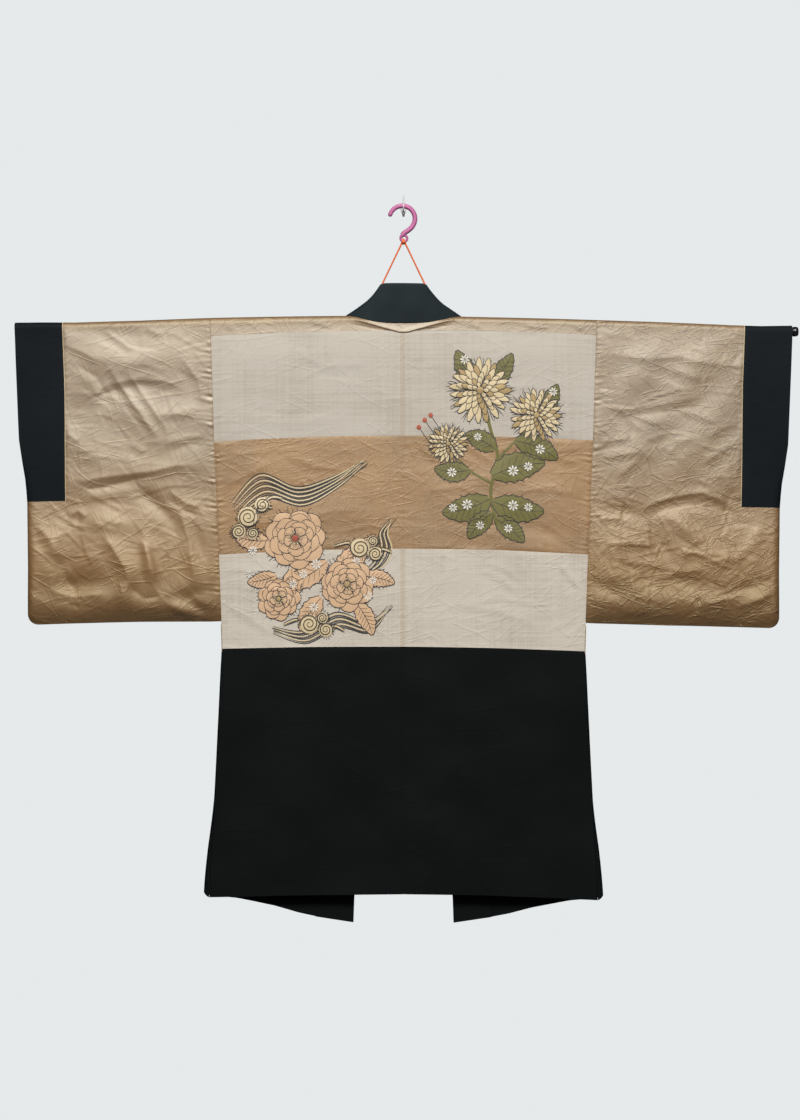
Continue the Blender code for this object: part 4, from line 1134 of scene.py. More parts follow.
def build_sleeve(word, side, outer, folds, near_side, far_side, seed):
    """near_side and far_side: creases, swells and creasing on the viewer's and the wall's side."""
    panel = np.append(even(0, 0.9945, SLEEVE_CELL / 0.25), 1.0)
    from_edge = np.array(metres((60, 55.5, 51, 46.5, 42, 37.5, 33, 29, 25, 21, 17.5, 14.5, 11.5, 8.8,
                                 6.2, 4, 2.2, 1, 0.3, 0)))
    across = np.concatenate([panel, 2.0 + np.arange(len(from_edge))])
    panel_columns = len(panel) - 1
    gathers = GATHERS_LEFT if side < 0 else GATHERS
    near_depths, near_notch = sleeve_depths(SLEEVE_CELL)
    far_depths, far_notch = sleeve_depths(SLEEVE_WALL_CELL)
    over = np.concatenate([-near_depths[::-1], far_depths[1:]])

    def place(share, drop):
        depth = np.abs(drop)
        cuff = read(CUFF_SEAM, depth) - SEAM / 2
        edge = sleeve_edge(depth)
        near = mix(read(BODY_EDGE, depth) + SEAM / 2, np.minimum(cuff, edge), share)
        step = np.clip(share - 2, 0, len(from_edge) - 1).astype(int)
        out = np.where(share <= 1, near, edge - from_edge[step])
        wall_side = np.where(drop > 0, WALL, NEAR)
        detail = np.where(drop > 0, sleeve_detail(out, depth, *far_side, seed + 50, GATHERS),
                          sleeve_detail(out, depth, *near_side, seed, gathers))
        above = np.clip((SLEEVE_DEPTH - depth) / BOTTOM_ROLL, 0.0, 1.0)
        foot_roll = (1.0 - (1.0 - above) ** 2.0) * (1.02 * above / (above + 0.02)) ** 0.30
        gap = (sleeve_gap(out, depth, wall_side, folds) + detail) * foot_roll
        gap = np.where(drop > 0, np.minimum(gap, WALL_ROOM), gap)
        return cloth_points(side * out, depth, wall_side * wrist_gap(out, depth, gap))

    def at_opening(row):
        return near_notch <= row < len(over) - 1 - far_notch

    # The sleeve's last column at the opening carries the painted edge highlight
    cloth_piece(f"sleeve_{word}", across, over, place, outer, "satin",
                cut_away=lambda column, row: column >= panel_columns and at_opening(row),
                trim=(EDGE_HIGHLIGHT, lambda column, row: column == panel_columns - 1 and at_opening(row)))


def build_cuff(word, side, seed):
    depths = np.concatenate([turn_steps(10), even(TURN, CUFF_DEPTH - SEAM / 2, CUFF_CELL)[1:]])

    def place(share, drop):
        depth = np.abs(drop)
        out = mix(read(CUFF_SEAM, depth) + SEAM / 2, sleeve_edge(depth), share)
        gap = wrist_gap(out, depth, sleeve_gap(out, depth, WALL, {}))
        seam = out - read(CUFF_SEAM, depth)
        calm = ease((depth - 0.006) / 0.020) * ease(seam / 0.010)
        gap = gap + calm * undulation(seed, out, drop, 0.0004) + groove(seam)
        gap = np.where(depth > TURN, np.maximum(gap, CLOSED_HOLLOW), gap)
        return cloth_points(side * out, depth, np.where(drop > 0, gap, -gap))

    over = np.concatenate([-depths[::-1], depths[1:]])
    cloth_piece(f"cuff_{word}", even(0, 1, CUFF_CELL / 0.082), over, place, CUFF_SILK, "black_silk")


# ---------------------------------------------------------------- collar
COLLAR_PLY = 0.0012             # half the distance between the collar's two layers
COLLAR_SHELL = 0.0008
COLLAR_LAP = 0.0022             # the collar laps over the cloth at its seam by this much
COLLAR_STATION = 0.0042         # about the distance from one station along it to the next


def smooth_columns(values, passes):
    """A table of stations made smooth, its first and last rows held."""
    for _ in range(passes):
        inner = 0.25 * values[:-2] + 0.5 * values[1:-1] + 0.25 * values[2:]
        values = np.concatenate([values[:1], inner, values[-1:]])
    return values


def collar_lines():
    """Fine points of the collar's seam and of its fold edge, right front hem to left."""
    leans = []
    for _, _, fold_out, fold_drop, lean in COLLAR:
        gap = body_gap(np.array([fold_out]), np.array([max(fold_drop, 0.0)]), WALL)[0] + 0.0008
        leans.append(gap if lean is None else lean)
    rows = np.column_stack([[row[:4] for row in COLLAR], leans])
    places = np.arange(len(rows))
    fine = np.linspace(0, len(rows) - 1, 230)
    half = np.column_stack([np.interp(fine, places, rows[:, i]) for i in range(5)])
    mirrored = half[::-1].copy()
    mirrored[:, [0, 2]] *= -1
    both = np.concatenate([mirrored, half[1:]])
    seam_out, seam_over, _, _, lean = smooth_columns(both, 10).T
    fold_out, fold_drop = smooth_columns(both, 2)[:, 2:4].T
    depth, wall_side = np.abs(seam_over), np.where(seam_over > 0, WALL, NEAR)
    lift = 0.0008 + 0.0016 * (wall_side > 0) * ease(1.0 - np.abs(depth - TURN) / (2 * TURN))
    away = wall_side * (body_gap(seam_out, depth, WALL) + lift)
    seam = cloth_points(seam_out, depth, away)
    seam[:, 2] += 0.0012 * ease(1.0 - depth / 0.010)
    fold = cloth_points(fold_out, fold_drop, lean)
    start = -COLLAR_LAP / np.linalg.norm(fold - seam, axis=1, keepdims=True)
    return smooth_columns(mix(seam, fold, start), 6), smooth_columns(fold, 1)


def build_collar():
    """Two layers of silk, one fold: out from the seam, round the fold edge and back."""
    seam, fold = collar_lines()
    width = np.linalg.norm(fold - seam, axis=1, keepdims=True)
    across_way = (fold - seam) / width
    face = unit(np.cross(np.gradient(mix(seam, fold, 0.5), axis=0), across_way))
    middle = len(seam) // 2
    if face[middle, 1] > 0:
        face = -face
    flat = np.linspace(0, 1, 15)
    turn = np.linspace(0, math.pi, 8)[1:-1]
    whole, none = np.ones_like(flat), np.zeros_like(flat)
    shares = np.concatenate([flat, np.ones_like(turn), flat[::-1]])
    heights = np.concatenate([whole, np.cos(turn), -whole])
    outs = np.concatenate([none, np.sin(turn), none])

    def place(step, station):
        i, k = step.astype(int), station.astype(int)
        share = shares[i][:, None] * (1.0 - COLLAR_PLY / width[k])
        point = seam[k] + across_way[k] * width[k] * share
        point = point + across_way[k] * (outs[i] * COLLAR_PLY)[:, None]
        along = (k - middle) * COLLAR_STATION
        ripple = 0.0003 * np.sin(along * 55.0) * np.sin(shares[i] * 5.0)
        ply = COLLAR_PLY * (1.0 + 0.35 * np.sin(shares[i] * math.pi))
        return point + face[k] * (heights[i] * ply + ripple)[:, None]

    cloth_piece("collar", np.arange(len(shares)), np.arange(len(seam)), place, COLLAR_SILK,
                "black_silk", inner=COLLAR_SILK,
                thickness=COLLAR_SHELL)


# ---------------------------------------------------------------- embroidery
THREADWORK = {}                 # for each colour: its material, mesh and places on the cloth
LAYER = 0.00016                 # each layer of stitches lies this much higher
THREAD_BASE = SHELL / 2 + 0.00030


@functools.lru_cache(maxsize=None)
def unit_grid(steps, across):
    """A square sheet of stitches, still flat."""
    bm = bmesh.new()
    bm.loops.layers.uv.verify()
    bmesh.ops.create_grid(bm, x_segments=steps, y_segments=across, size=0.5, calc_uvs=True)
    mesh = to_mesh(bm, "unit_grid")
    return mesh, np.array([vert.co for vert in mesh.vertices])


def stitch(color, path, halves, layer, across=4, crown=0.0003):
    """A stitched shape: a strip along (out, drop) points with its half widths, a little padded."""
    path, halves = np.asarray(path, float), np.asarray(halves, float)
    if color.name not in THREADWORK:
        THREADWORK[color.name] = (color, bmesh.new(), [])
    _, bm, places = THREADWORK[color.name]
    steps = len(path) - 1
    mesh, grid = unit_grid(steps, across)
    bm.from_mesh(mesh)
    step = np.rint((grid[:, 0] + 0.5) * steps).astype(int)
    share = -2.0 * grid[:, 1]
    _, beside = beside_path(path)
    out, depth = (path[step] + beside[step] * (halves[step] * share)[:, None]).T
    padding = crown * (1.0 - share**2) * np.minimum(halves[step] / 0.005, 1.0)
    places.append(np.stack([out, depth, THREAD_BASE + LAYER * layer + padding]))


def curve(points, count):
    """A smooth run of count points through a few."""
    points = np.asarray(points, float)
    held = np.concatenate([points[:1], points, points[-1:]])
    places = np.linspace(0, len(points) - 1, count)
    i = np.minimum(places.astype(int), len(points) - 2)
    t = (places - i)[:, None]
    a, b, c, d = held[i], held[i + 1], held[i + 2], held[i + 3]
    return 0.5 * (2 * b + (c - a) * t + (2 * a - 5 * b + 4 * c - d) * t**2
                  + (3 * b - a - 3 * c + d) * t**3)


def line(color, points, half_width, layer, count=14, taper=True):
    """A stitched line through a few points."""
    t = np.linspace(0, 1, count)
    halves = half_width * (np.sin(math.pi * np.clip(t, 0.04, 0.96)) ** 0.5 if taper else 1 + 0 * t)
    stitch(color, curve(points, count), halves, layer, 2, 0.0003)


def blade(start, angle, length, half_width, bend=0.0, fullness=1.0, count=10):
    """Centre line and half widths of a petal or leaf; its widest place moves out with fullness."""
    t = np.linspace(0, 1, count)
    steps = toward(angle + bend * (t - 0.5)) * length / (count - 1)
    path = np.asarray(start) + np.concatenate([[[0, 0]], np.cumsum(steps[1:], axis=0)])
    halves = half_width * np.sin(math.pi * (0.03 + 0.94 * t) ** fullness) ** 0.75
    return path, halves


def beside_path(path):
    """At each point of a path, the directions along it and beside it."""
    along = unit(np.gradient(path, axis=0))
    return along, np.stack([-along[:, 1], along[:, 0]], axis=1)


def outlined(fill, edge, path, halves, layer, width=0.00050):
    """A filled shape with its contour in a second colour."""
    stitch(fill, path, halves, layer, 4)
    _, beside = beside_path(path)
    rim = np.concatenate([path + beside * halves[:, None], (path - beside * halves[:, None])[::-1]])
    stitch(edge, rim, np.full(len(rim), width), layer + 1.6, 1, 0.0002)
    return beside


def petal(fill, edge, start, angle, length, half_width, layer, bend=0.0, fullness=1.6, lines=0):
    """A petal with its contour and some lines along it."""
    path, halves = blade(start, angle, length, half_width, bend, fullness)
    beside = outlined(fill, edge, path, halves, layer)
    for k in range(lines):
        place = (k + 1) / (lines + 1) * 2 - 1
        vein = path + beside * (halves * place * 0.7)[:, None]
        line(edge, vein[1 : 6 + k % 2], 0.00034, layer + 3.4, 6)


def disc(color, middle, radius, layer, crown=0.0004):
    """A round padded spot."""
    t = np.linspace(-1, 1, 13) * 0.995
    path = np.asarray(middle) + np.stack([t * radius, 0 * t], axis=1)
    stitch(color, path, radius * np.sqrt(1 - t**2), layer, 6, crown)


def rays(color, middle, near, far, count, half_width, layer, draw):
    """Short strokes that stand out around a middle."""
    for k in range(count):
        angle = 2 * math.pi * (k + draw.uniform(-0.3, 0.3)) / count
        length = (far - near) * draw.uniform(0.5, 1.0)
        path, halves = blade(np.asarray(middle) + near * toward(angle), angle, length, half_width,
                             draw.uniform(-0.7, 0.7), 0.8, 6)
        stitch(color, path, halves, layer, 2, 0.0002)


def chrysanthemum(middle, radius, fill, edge, heart, layer, seed):
    draw = np.random.default_rng(seed)
    rays(edge, middle, 0.70 * radius, 1.16 * radius, 64, 0.00055, layer - 1, draw)
    for ring, (count, reach) in enumerate(((19, 1.0), (16, 0.80), (13, 0.61), (10, 0.43), (7, 0.27))):
        for k in range(count):
            angle = 2 * math.pi * (k + 0.5 * ring) / count + draw.uniform(-0.05, 0.05)
            length = radius * reach * draw.uniform(0.92, 1.04)
            petal(fill if (ring + k) % 4 else heart, edge, middle, angle, length,
                  0.88 * math.pi * length / count / 1.5, layer + 2 * ring + (k % 2),
                  draw.uniform(-0.35, 0.35), 2.2, 1)
    disc(heart, middle, 0.10 * radius, layer + 13)


def peony(middle, radius, fill, edge, heart, layer, seed):
    draw = np.random.default_rng(seed)
    rays(edge, middle, 0.72 * radius, 1.14 * radius, 46, 0.0006, layer - 1, draw)
    for ring, (count, reach, wide) in enumerate(
            ((9, 1.0, 0.36), (8, 0.80, 0.32), (7, 0.60, 0.26), (5, 0.40, 0.19))):
        for k in range(count):
            angle = 2 * math.pi * (k + 0.4 * ring) / count + draw.uniform(-0.14, 0.14)
            length = radius * reach * draw.uniform(0.9, 1.06)
            petal(fill, edge, middle, angle, length, radius * wide, layer + 2 * ring + (k % 2),
                  draw.uniform(-0.5, 0.5), 1.9, 4)
    disc(heart, middle, 0.10 * radius, layer + 12)
    for k in range(11):
        tip = np.asarray(middle) + 0.19 * radius * toward(2 * math.pi * k / 11)
        disc(CREAM, tip, 0.0011, layer + 13, 0.0003)


def floret(middle, radius, layer, turn=0.0):
    """A small white flower of eight petals."""
    for k in range(8):
        angle = turn + 2 * math.pi * k / 8
        start = np.asarray(middle) + 0.14 * radius * toward(angle)
        path, halves = blade(start, angle, 0.86 * radius, 0.17 * radius, 0, 1.6, 6)
        stitch(WHITE, path, halves, layer + 4, 2, 0.0003)


def leaf(fill, edge, start, angle, length, half_width, layer, bend=0.5):
    """A leaf with its veins and a toothed edge."""
    path, halves = blade(start, angle, length, half_width, bend, 0.85, 18)
    halves = halves * (1 + 0.09 * np.cos(np.arange(len(path)) * 2.1))
    along, beside = beside_path(path)
    outlined(fill, edge, path, halves, layer, 0.0007)
    line(edge, path[[0, 5, 11, 17]], 0.0006, layer + 3.6)
    for k in (3, 5, 7, 9, 11, 13):
        for hand in (-1, 1):
            tip = path[k] + (hand * beside[k] + 0.8 * along[k]) * halves[k] * 0.78
            line(edge, [path[k], 0.5 * (path[k] + tip) + 0.0008 * along[k], tip], 0.00036,
                 layer + 3.4, 5)
            out = path[k] + hand * beside[k] * halves[k] * 1.04
            line(edge, [out, out + 0.0022 * (hand * beside[k] + 1.3 * along[k])], 0.0004,
                 layer + 1.6, 4)


def scroll(middle, radius, layer, turns=2.2, hand=1, start=0.0, tail=None):
    """A round cloud: a cream disc, dark spirals on it and a rim that may run out in a tail."""
    disc(CREAM, middle, radius, layer, 0.0004)
    t = np.linspace(0, 1, 46)
    ring = toward(start + hand * 2 * math.pi * turns * t) * (radius * (1.0 - 0.88 * t))[:, None]
    path = np.asarray(middle) + ring
    stitch(DARK, path, 0.0009 * (1.15 - 0.6 * t), layer + 4.5, 2, 0.0002)
    inner = np.asarray(middle) + 0.93 * ring * (1.0 - 0.05 * t)[:, None]
    inner = inner[3:34]
    stitch(GOLD, inner, np.full(len(inner), 0.0005), layer + 4.3, 2, 0.0002)
    draw = np.random.default_rng(int(radius * 1e5))
    rays(DARK, middle, radius, radius + 0.006, 22, 0.0005, layer + 1, draw)
    if tail:
        line(CREAM, [path[0], *tail], 0.0016, layer + 1, 16)
        line(DARK, [path[0], *[(x, z - 0.0022) for x, z in tail]], 0.0009, layer + 2, 16)
        line(DARK, [path[2], *[(x, z + 0.0026) for x, z in tail]], 0.0008, layer + 2, 16)


def strands(points, shift, spread, count, seed):
    """A blown bundle of long strands, dark ones with light ones between them."""
    draw = np.random.default_rng(seed)
    points, spread = np.asarray(points, float), np.asarray(spread, float)
    for k in range(count):
        share = k / (count - 1) - 0.5
        path = points + np.outer(spread, shift) * share
        path[-1] += draw.uniform(-0.006, 0.006, 2)
        path[0] += draw.uniform(-0.002, 0.002, 2)
        color = CREAM if k % 3 == 1 else DARK
        line(color, path, 0.0012 if color is CREAM else 0.0010, 1 + 0.5 * (k % 2), 30)


def build_spray():
    """Right of the centre: gold chrysanthemums on a stem with broad olive leaves."""
    stem = [(0.160, 0.362), (0.148, 0.300), (0.160, 0.240), (0.146, 0.185), (0.134, 0.130)]
    line(OLIVE, stem, 0.0028, 0, 26, taper=False)
    for branch in (((0.156, 0.245), (0.186, 0.215), (0.222, 0.175)),
                   ((0.150, 0.285), (0.112, 0.262), (0.078, 0.226))):
        line(OLIVE, branch, 0.0022, 0, 14, taper=False)
    for start, degrees, length, half_width, bend in (
        ((0.150, 0.272), -16, 0.094, 0.0245, 0.5), ((0.152, 0.316), 10, 0.088, 0.0225, -0.5),
        ((0.146, 0.312), 162, 0.084, 0.0225, 0.5), ((0.156, 0.346), 38, 0.062, 0.0165, 0.4),
        ((0.150, 0.336), 132, 0.060, 0.0160, -0.4), ((0.112, 0.262), 182, 0.060, 0.0175, 0.6),
        ((0.190, 0.210), 22, 0.078, 0.0200, 0.5), ((0.156, 0.226), 208, 0.058, 0.0170, -0.5),
        ((0.134, 0.126), -124, 0.080, 0.0180, 0.5), ((0.228, 0.168), -58, 0.064, 0.0150, -0.4),
        ((0.140, 0.122), -52, 0.074, 0.0160, -0.5),
    ):
        leaf(OLIVE, DARK, start, math.radians(degrees), length, half_width, 1, bend)
    flowers = ((0.130, 0.126), 0.054), ((0.226, 0.166), 0.045), ((0.076, 0.216), 0.034)
    for seed, (middle, radius) in enumerate(flowers, 1):
        chrysanthemum(middle, radius, CREAM, DARK, GOLD, 4, seed)
    for middle, radius in (
        ((0.186, 0.262), 0.0095), ((0.212, 0.254), 0.0080), ((0.186, 0.322), 0.0095),
        ((0.212, 0.324), 0.0075), ((0.108, 0.322), 0.0095), ((0.084, 0.328), 0.0075),
        ((0.082, 0.266), 0.0085), ((0.232, 0.224), 0.0085), ((0.178, 0.362), 0.0075),
        ((0.130, 0.358), 0.0075), ((0.104, 0.075), 0.0080), ((0.254, 0.126), 0.0075),
        ((0.126, 0.204), 0.0070),
    ):
        floret(middle, radius, 2, radius * 900)
    for middle in ((0.036, 0.176), (0.026, 0.188), (0.046, 0.168)):
        line(DARK, [middle, (middle[0] + 0.018, middle[1] + 0.026)], 0.0006, 1, 8)
        disc(RED, middle, 0.0040, 3)


def build_blossoms():
    """Left of the centre: peach peonies among cloud scrolls and blown grasses."""
    strands([(-0.288, 0.326), (-0.238, 0.286), (-0.176, 0.306), (-0.118, 0.284), (-0.066, 0.248)],
            (0.3, 1.0), (0.030, 0.044, 0.034, 0.022, 0.010), 15, 41)
    strands([(-0.222, 0.532), (-0.168, 0.546), (-0.112, 0.518), (-0.060, 0.530), (-0.022, 0.498)],
            (0.2, 1.0), (0.012, 0.022, 0.026, 0.020, 0.008), 10, 42)
    strands([(-0.064, 0.440), (-0.042, 0.424), (-0.030, 0.398), (-0.034, 0.372), (-0.020, 0.352)],
            (1.0, 0.2), (0.012, 0.020, 0.020, 0.014, 0.006), 8, 43)
    for start, degrees, length, half_width, bend in (
        ((-0.130, 0.420), 152, 0.086, 0.019, 0.5), ((-0.118, 0.432), -38, 0.086, 0.018, -0.5),
        ((-0.190, 0.430), 98, 0.066, 0.017, 0.5), ((-0.080, 0.490), 62, 0.060, 0.015, 0.4),
        ((-0.140, 0.480), 122, 0.066, 0.017, -0.4), ((-0.230, 0.380), 190, 0.058, 0.016, 0.5),
        ((-0.066, 0.446), 12, 0.052, 0.014, 0.4), ((-0.216, 0.440), 168, 0.050, 0.014, 0.4),
    ):
        leaf(PEACH, DARK, start, math.radians(degrees), length, half_width, 2, bend)
    peony((-0.184, 0.378), 0.053, PEACH, DARK, RED, 4, 5)
    peony((-0.096, 0.458), 0.046, PEACH, DARK, GOLD, 4, 6)
    peony((-0.212, 0.480), 0.036, PEACH, DARK, GOLD, 4, 7)
    for middle, radius, hand, start, tail in (
        ((-0.264, 0.338), 0.0175, 1, 0.4, [(-0.246, 0.322), (-0.222, 0.324)]),
        ((-0.240, 0.318), 0.0130, -1, 2.6, [(-0.226, 0.306), (-0.206, 0.308)]),
        ((-0.280, 0.362), 0.0120, 1, 1.8, None), ((-0.256, 0.366), 0.0100, -1, 0.8, None),
        ((-0.074, 0.398), 0.0165, -1, 3.4, [(-0.094, 0.388), (-0.118, 0.394)]),
        ((-0.048, 0.408), 0.0120, 1, 0.2, [(-0.036, 0.400), (-0.020, 0.406)]),
        ((-0.052, 0.386), 0.0095, -1, 1.2, None),
        ((-0.160, 0.524), 0.0160, 1, 3.0, [(-0.182, 0.516), (-0.204, 0.524)]),
        ((-0.132, 0.534), 0.0120, -1, 0.4, [(-0.116, 0.528), (-0.100, 0.536)]),
        ((-0.138, 0.514), 0.0095, 1, 1.4, None),
    ):
        scroll(middle, radius, 5, 2.3, hand, start, tail)
    for middle, radius in (
        ((-0.148, 0.424), 0.0090), ((-0.170, 0.440), 0.0075), ((-0.060, 0.478), 0.0080),
        ((-0.152, 0.496), 0.0080), ((-0.188, 0.456), 0.0070), ((-0.256, 0.396), 0.0080),
        ((-0.262, 0.436), 0.0070), ((-0.080, 0.420), 0.0070), ((-0.052, 0.452), 0.0065),
    ):
        floret(middle, radius, 3, radius * 700)


def build_embroidery():
    build_spray()
    build_blossoms()
    for name, (color, bm, places) in THREADWORK.items():
        mesh = to_mesh(bm, f"embroidery_{name}")
        out, depth, lift = np.concatenate(places, axis=1)
        points = cloth_points(out, depth, -(back_gap(out, depth) + lift))
        mesh.vertices.foreach_set("co", points.ravel())
        mesh.update()
        mesh.shade_smooth()
        add_piece(f"embroidery_{name}", mesh, (color,), "pale_weave")


# ---------------------------------------------------------------- hanger
HOOK_BOW_CENTRE, HOOK_BOW_RADIUS, HOOK_TUBE = (-0.0021, -0.0122), 0.0217, 0.0035
HOOK_TIP_ANGLE, HOOK_TURN_ANGLE = 162, -22          # degrees, from +X towards +Z
HOOK_SHANK = ((0.0148, -0.0262), (0.0086, -0.0320), (0.0022, -0.0362), (-0.0018, -0.0405))
EYE_CENTRE, EYE_RADIUS, EYE_TUBE = (0.0007, -0.0461), 0.00545, 0.00215
HOOK_MOULDED = 0.0039           # radius of the hook's rod over its rounded edges
CORD_SLOPE = 0.482
STRAND_TURN = 0.0150            # length of cord in which a strand goes once round
STRAND_CENTRE, STRAND_RADIUS = 0.00088, 0.00068
CAP_PROFILE = (                 # from the rod's end outwards: run, and share of the rod's radius
    (0.0001, 0.90), (0.0004, 1.02), (0.0080, 1.02), (0.0084, 0.96), (0.0094, 0.96), (0.0098, 1.03),
    (0.0140, 1.03), (0.0156, 0.97), (0.0166, 0.80), (0.0170, 0.45), (0.0170, 0.0),
)
STRIP_HALF_WIDTH, STRIP_THICKNESS, STRIP_TOP, STRIP_FOOT = 0.0016, 0.0012, 0.034, 0.0040
PEG_RADIUS, PEG_REACH, PEG_RISE = 0.0018, 0.0300, 0.0012
BALL_RADIUS = 0.0021


def tube(bm, points, radii, sides=16, section=None):
    """A tube along points in one bmesh; section turns an angle round it into a share of radius."""
    points = np.asarray(points, float)
    radii = np.broadcast_to(radii, len(points))
    steps = len(points) - 1
    made = bmesh.ops.create_grid(bm, x_segments=steps, y_segments=sides, size=0.5)
    along = unit(np.gradient(points, axis=0))
    level = (0.0, 1.0, 0.0) if abs(along[:, 1]).max() < 0.95 else (0.0, 0.0, 1.0)
    beside = unit(np.cross(along, level))
    upright = np.cross(beside, along)
    for vert in made["verts"]:
        i = round((vert.co.x + 0.5) * steps)
        angle = 2 * math.pi * (vert.co.y + 0.5)
        size = radii[i] * (section(angle) if section else 1.0)
        vert.co = points[i] + size * (math.cos(angle) * beside[i] + math.sin(angle) * upright[i])


def ball(bm, middle, radius, segments=20, rings=12):
    placed = Matrix.Translation(middle)
    bmesh.ops.create_uvsphere(bm, u_segments=segments, v_segments=rings, radius=radius, matrix=placed)


def hard_piece(name, bm, material, slot, *nodes):
    bmesh.ops.remove_doubles(bm, verts=bm.verts, dist=0.000002)
    bmesh.ops.recalc_face_normals(bm, faces=bm.faces)
    mesh = to_mesh(bm, name)
    mesh.shade_smooth()
    return add_piece(name, mesh, (material,), slot, *nodes)


def build_rod():
    outs = np.linspace(ROD_LEFT_END, ROD_RIGHT_END, 40)
    bm = bmesh.new()
    tube(bm, np.stack([outs, np.full_like(outs, HANG_Y), rod_z(outs)], axis=1), ROD_RADIUS, 32)
    hard_piece("rod_tube", bm, ROD_PLASTIC, "rod_plastic", "hanger_rod")
    for word, end, side, longer in (("left", ROD_LEFT_END, -1, 1.0), ("right", ROD_RIGHT_END, 1, 1.24)):
        slope = (rod_z(end) - rod_z(end - side * 0.01)) / 0.01
        rings = [((end + side * longer * run, HANG_Y, rod_z(end) + slope * longer * run),
                  ROD_RADIUS * share) for run, share in CAP_PROFILE]
        bm = bmesh.new()
        for (point, radius), (after, radius_after) in zip(rings, rings[1:]):
            if math.dist(point, after) > 1e-6:
                tube(bm, [point, after], [radius, radius_after], 32)
        x, y, z = rings[-1][0]
        tube(bm, [(x, y, z), (x + side * 0.00002, y, z)], [rings[-2][1], 0.0], 32)
        hard_piece(f"rod_cap_{word}_turned", bm, ROD_PLASTIC, "rod_plastic", f"rod_cap_{word}")


def twisted(bm, points, strands=6):
    """A cord of twisted strands along points."""
    points = np.asarray(points, float)
    along = unit(np.gradient(points, axis=0))
    level = unit(np.cross(along, (0.0, 1.0, 0.02)))
    other = np.cross(along, level)
    run = np.concatenate([[0], np.cumsum(np.linalg.norm(np.diff(points, axis=0), axis=1))])
    for k in range(strands):
        turn = (2 * math.pi * (run / STRAND_TURN + k / strands))[:, None]
        path = points + STRAND_CENTRE * (np.cos(turn) * level + np.sin(turn) * other)
        tube(bm, path, STRAND_RADIUS, 8)


def build_cord():
    """The cord goes through the eye, wraps its own legs once and runs down into the rod."""
    bm = bmesh.new()
    y = HANG_Y
    bight = ((0.0008, y + 0.0032, -0.0508), (-0.0004, y, -0.0474), (-0.0008, y - 0.0034, -0.0503),
             (-0.0018, y - 0.0034, -0.0526), (-0.0030, y - 0.0016, -0.0542),
             (-0.0022, y + 0.0022, -0.0546), (0.0, y + 0.0032, -0.0547),
             (0.0022, y + 0.0022, -0.0546), (0.0030, y - 0.0016, -0.0542),
             (0.0018, y - 0.0034, -0.0526), (0.0008, y - 0.0034, -0.0503),
             (0.0004, y, -0.0474), (0.0000, y + 0.0032, -0.0508))
    twisted(bm, curve(bight, 90))
    inside = float(rod_z(0))
    for side in (-1, 1):
        foot = side * (0.0026 + CORD_SLOPE * (-0.0540 - inside))
        start = side * (0.0026 + CORD_SLOPE * 0.0036)
        leg = ((0.0, y - 0.0034, -0.0510), (side * 0.0012, y - 0.0038, -0.0532),
               (start, y - 0.0012, -0.0576), (mix(start, foot, 0.5), y, mix(-0.0576, inside, 0.5)),
               (foot, y, inside))
        twisted(bm, curve(leg, 120))
    ball(bm, (0, y - 0.0008, -0.0536), 0.0030)
    hard_piece("cord_strands", bm, CORD_ORANGE, "cord_orange", "hanger_cord")


def build_hook():
    """The moulded hook: a shallow channel on its faces, a parting line round its edge."""
    turns = np.radians(np.linspace(HOOK_TIP_ANGLE, HOOK_TURN_ANGLE, 40))
    bow_points = HOOK_BOW_CENTRE + HOOK_BOW_RADIUS * toward(turns)
    shank = curve([bow_points[-1], *HOOK_SHANK], 20)[1:]
    path = np.concatenate([bow_points, shank])
    way = unit(path[0] - path[1])
    tip = [path[0] + way * HOOK_MOULDED * share for share in (0.90, 0.83, 0.64, 0.35)]
    path = np.concatenate([tip, path])
    closing = np.concatenate([[0.0, 0.39, 0.71, 0.93], np.ones(len(turns))])
    slender = 0.92 + 0.08 * ease(np.arange(len(closing)) / 20.0)
    radii = HOOK_MOULDED * np.concatenate([slender * closing, np.linspace(1.0, 1.08, len(shank))])

    def section(angle):
        channel = 0.13 * math.exp(-((math.cos(angle) / 0.45) ** 2))
        parting = 0.05 * math.exp(-((math.sin(angle) / 0.10) ** 2))
        return 1.0 - channel + parting

    bm = bmesh.new()
    tube(bm, [(x, HANG_Y, z) for x, z in path], radii, 40, section)
    turns = np.linspace(0, 2 * math.pi, 49)
    ring = EYE_CENTRE + EYE_RADIUS * toward(turns)
    stout = 1.0 + 0.45 * np.exp(-(((turns - 2.2) / 0.7) ** 2))
    tube(bm, [(x, HANG_Y, z) for x, z in ring], EYE_TUBE * stout, 20)
    hard_piece("moulded_hook", bm, HOOK_PLASTIC, "hook_plastic", "hanger_hook")


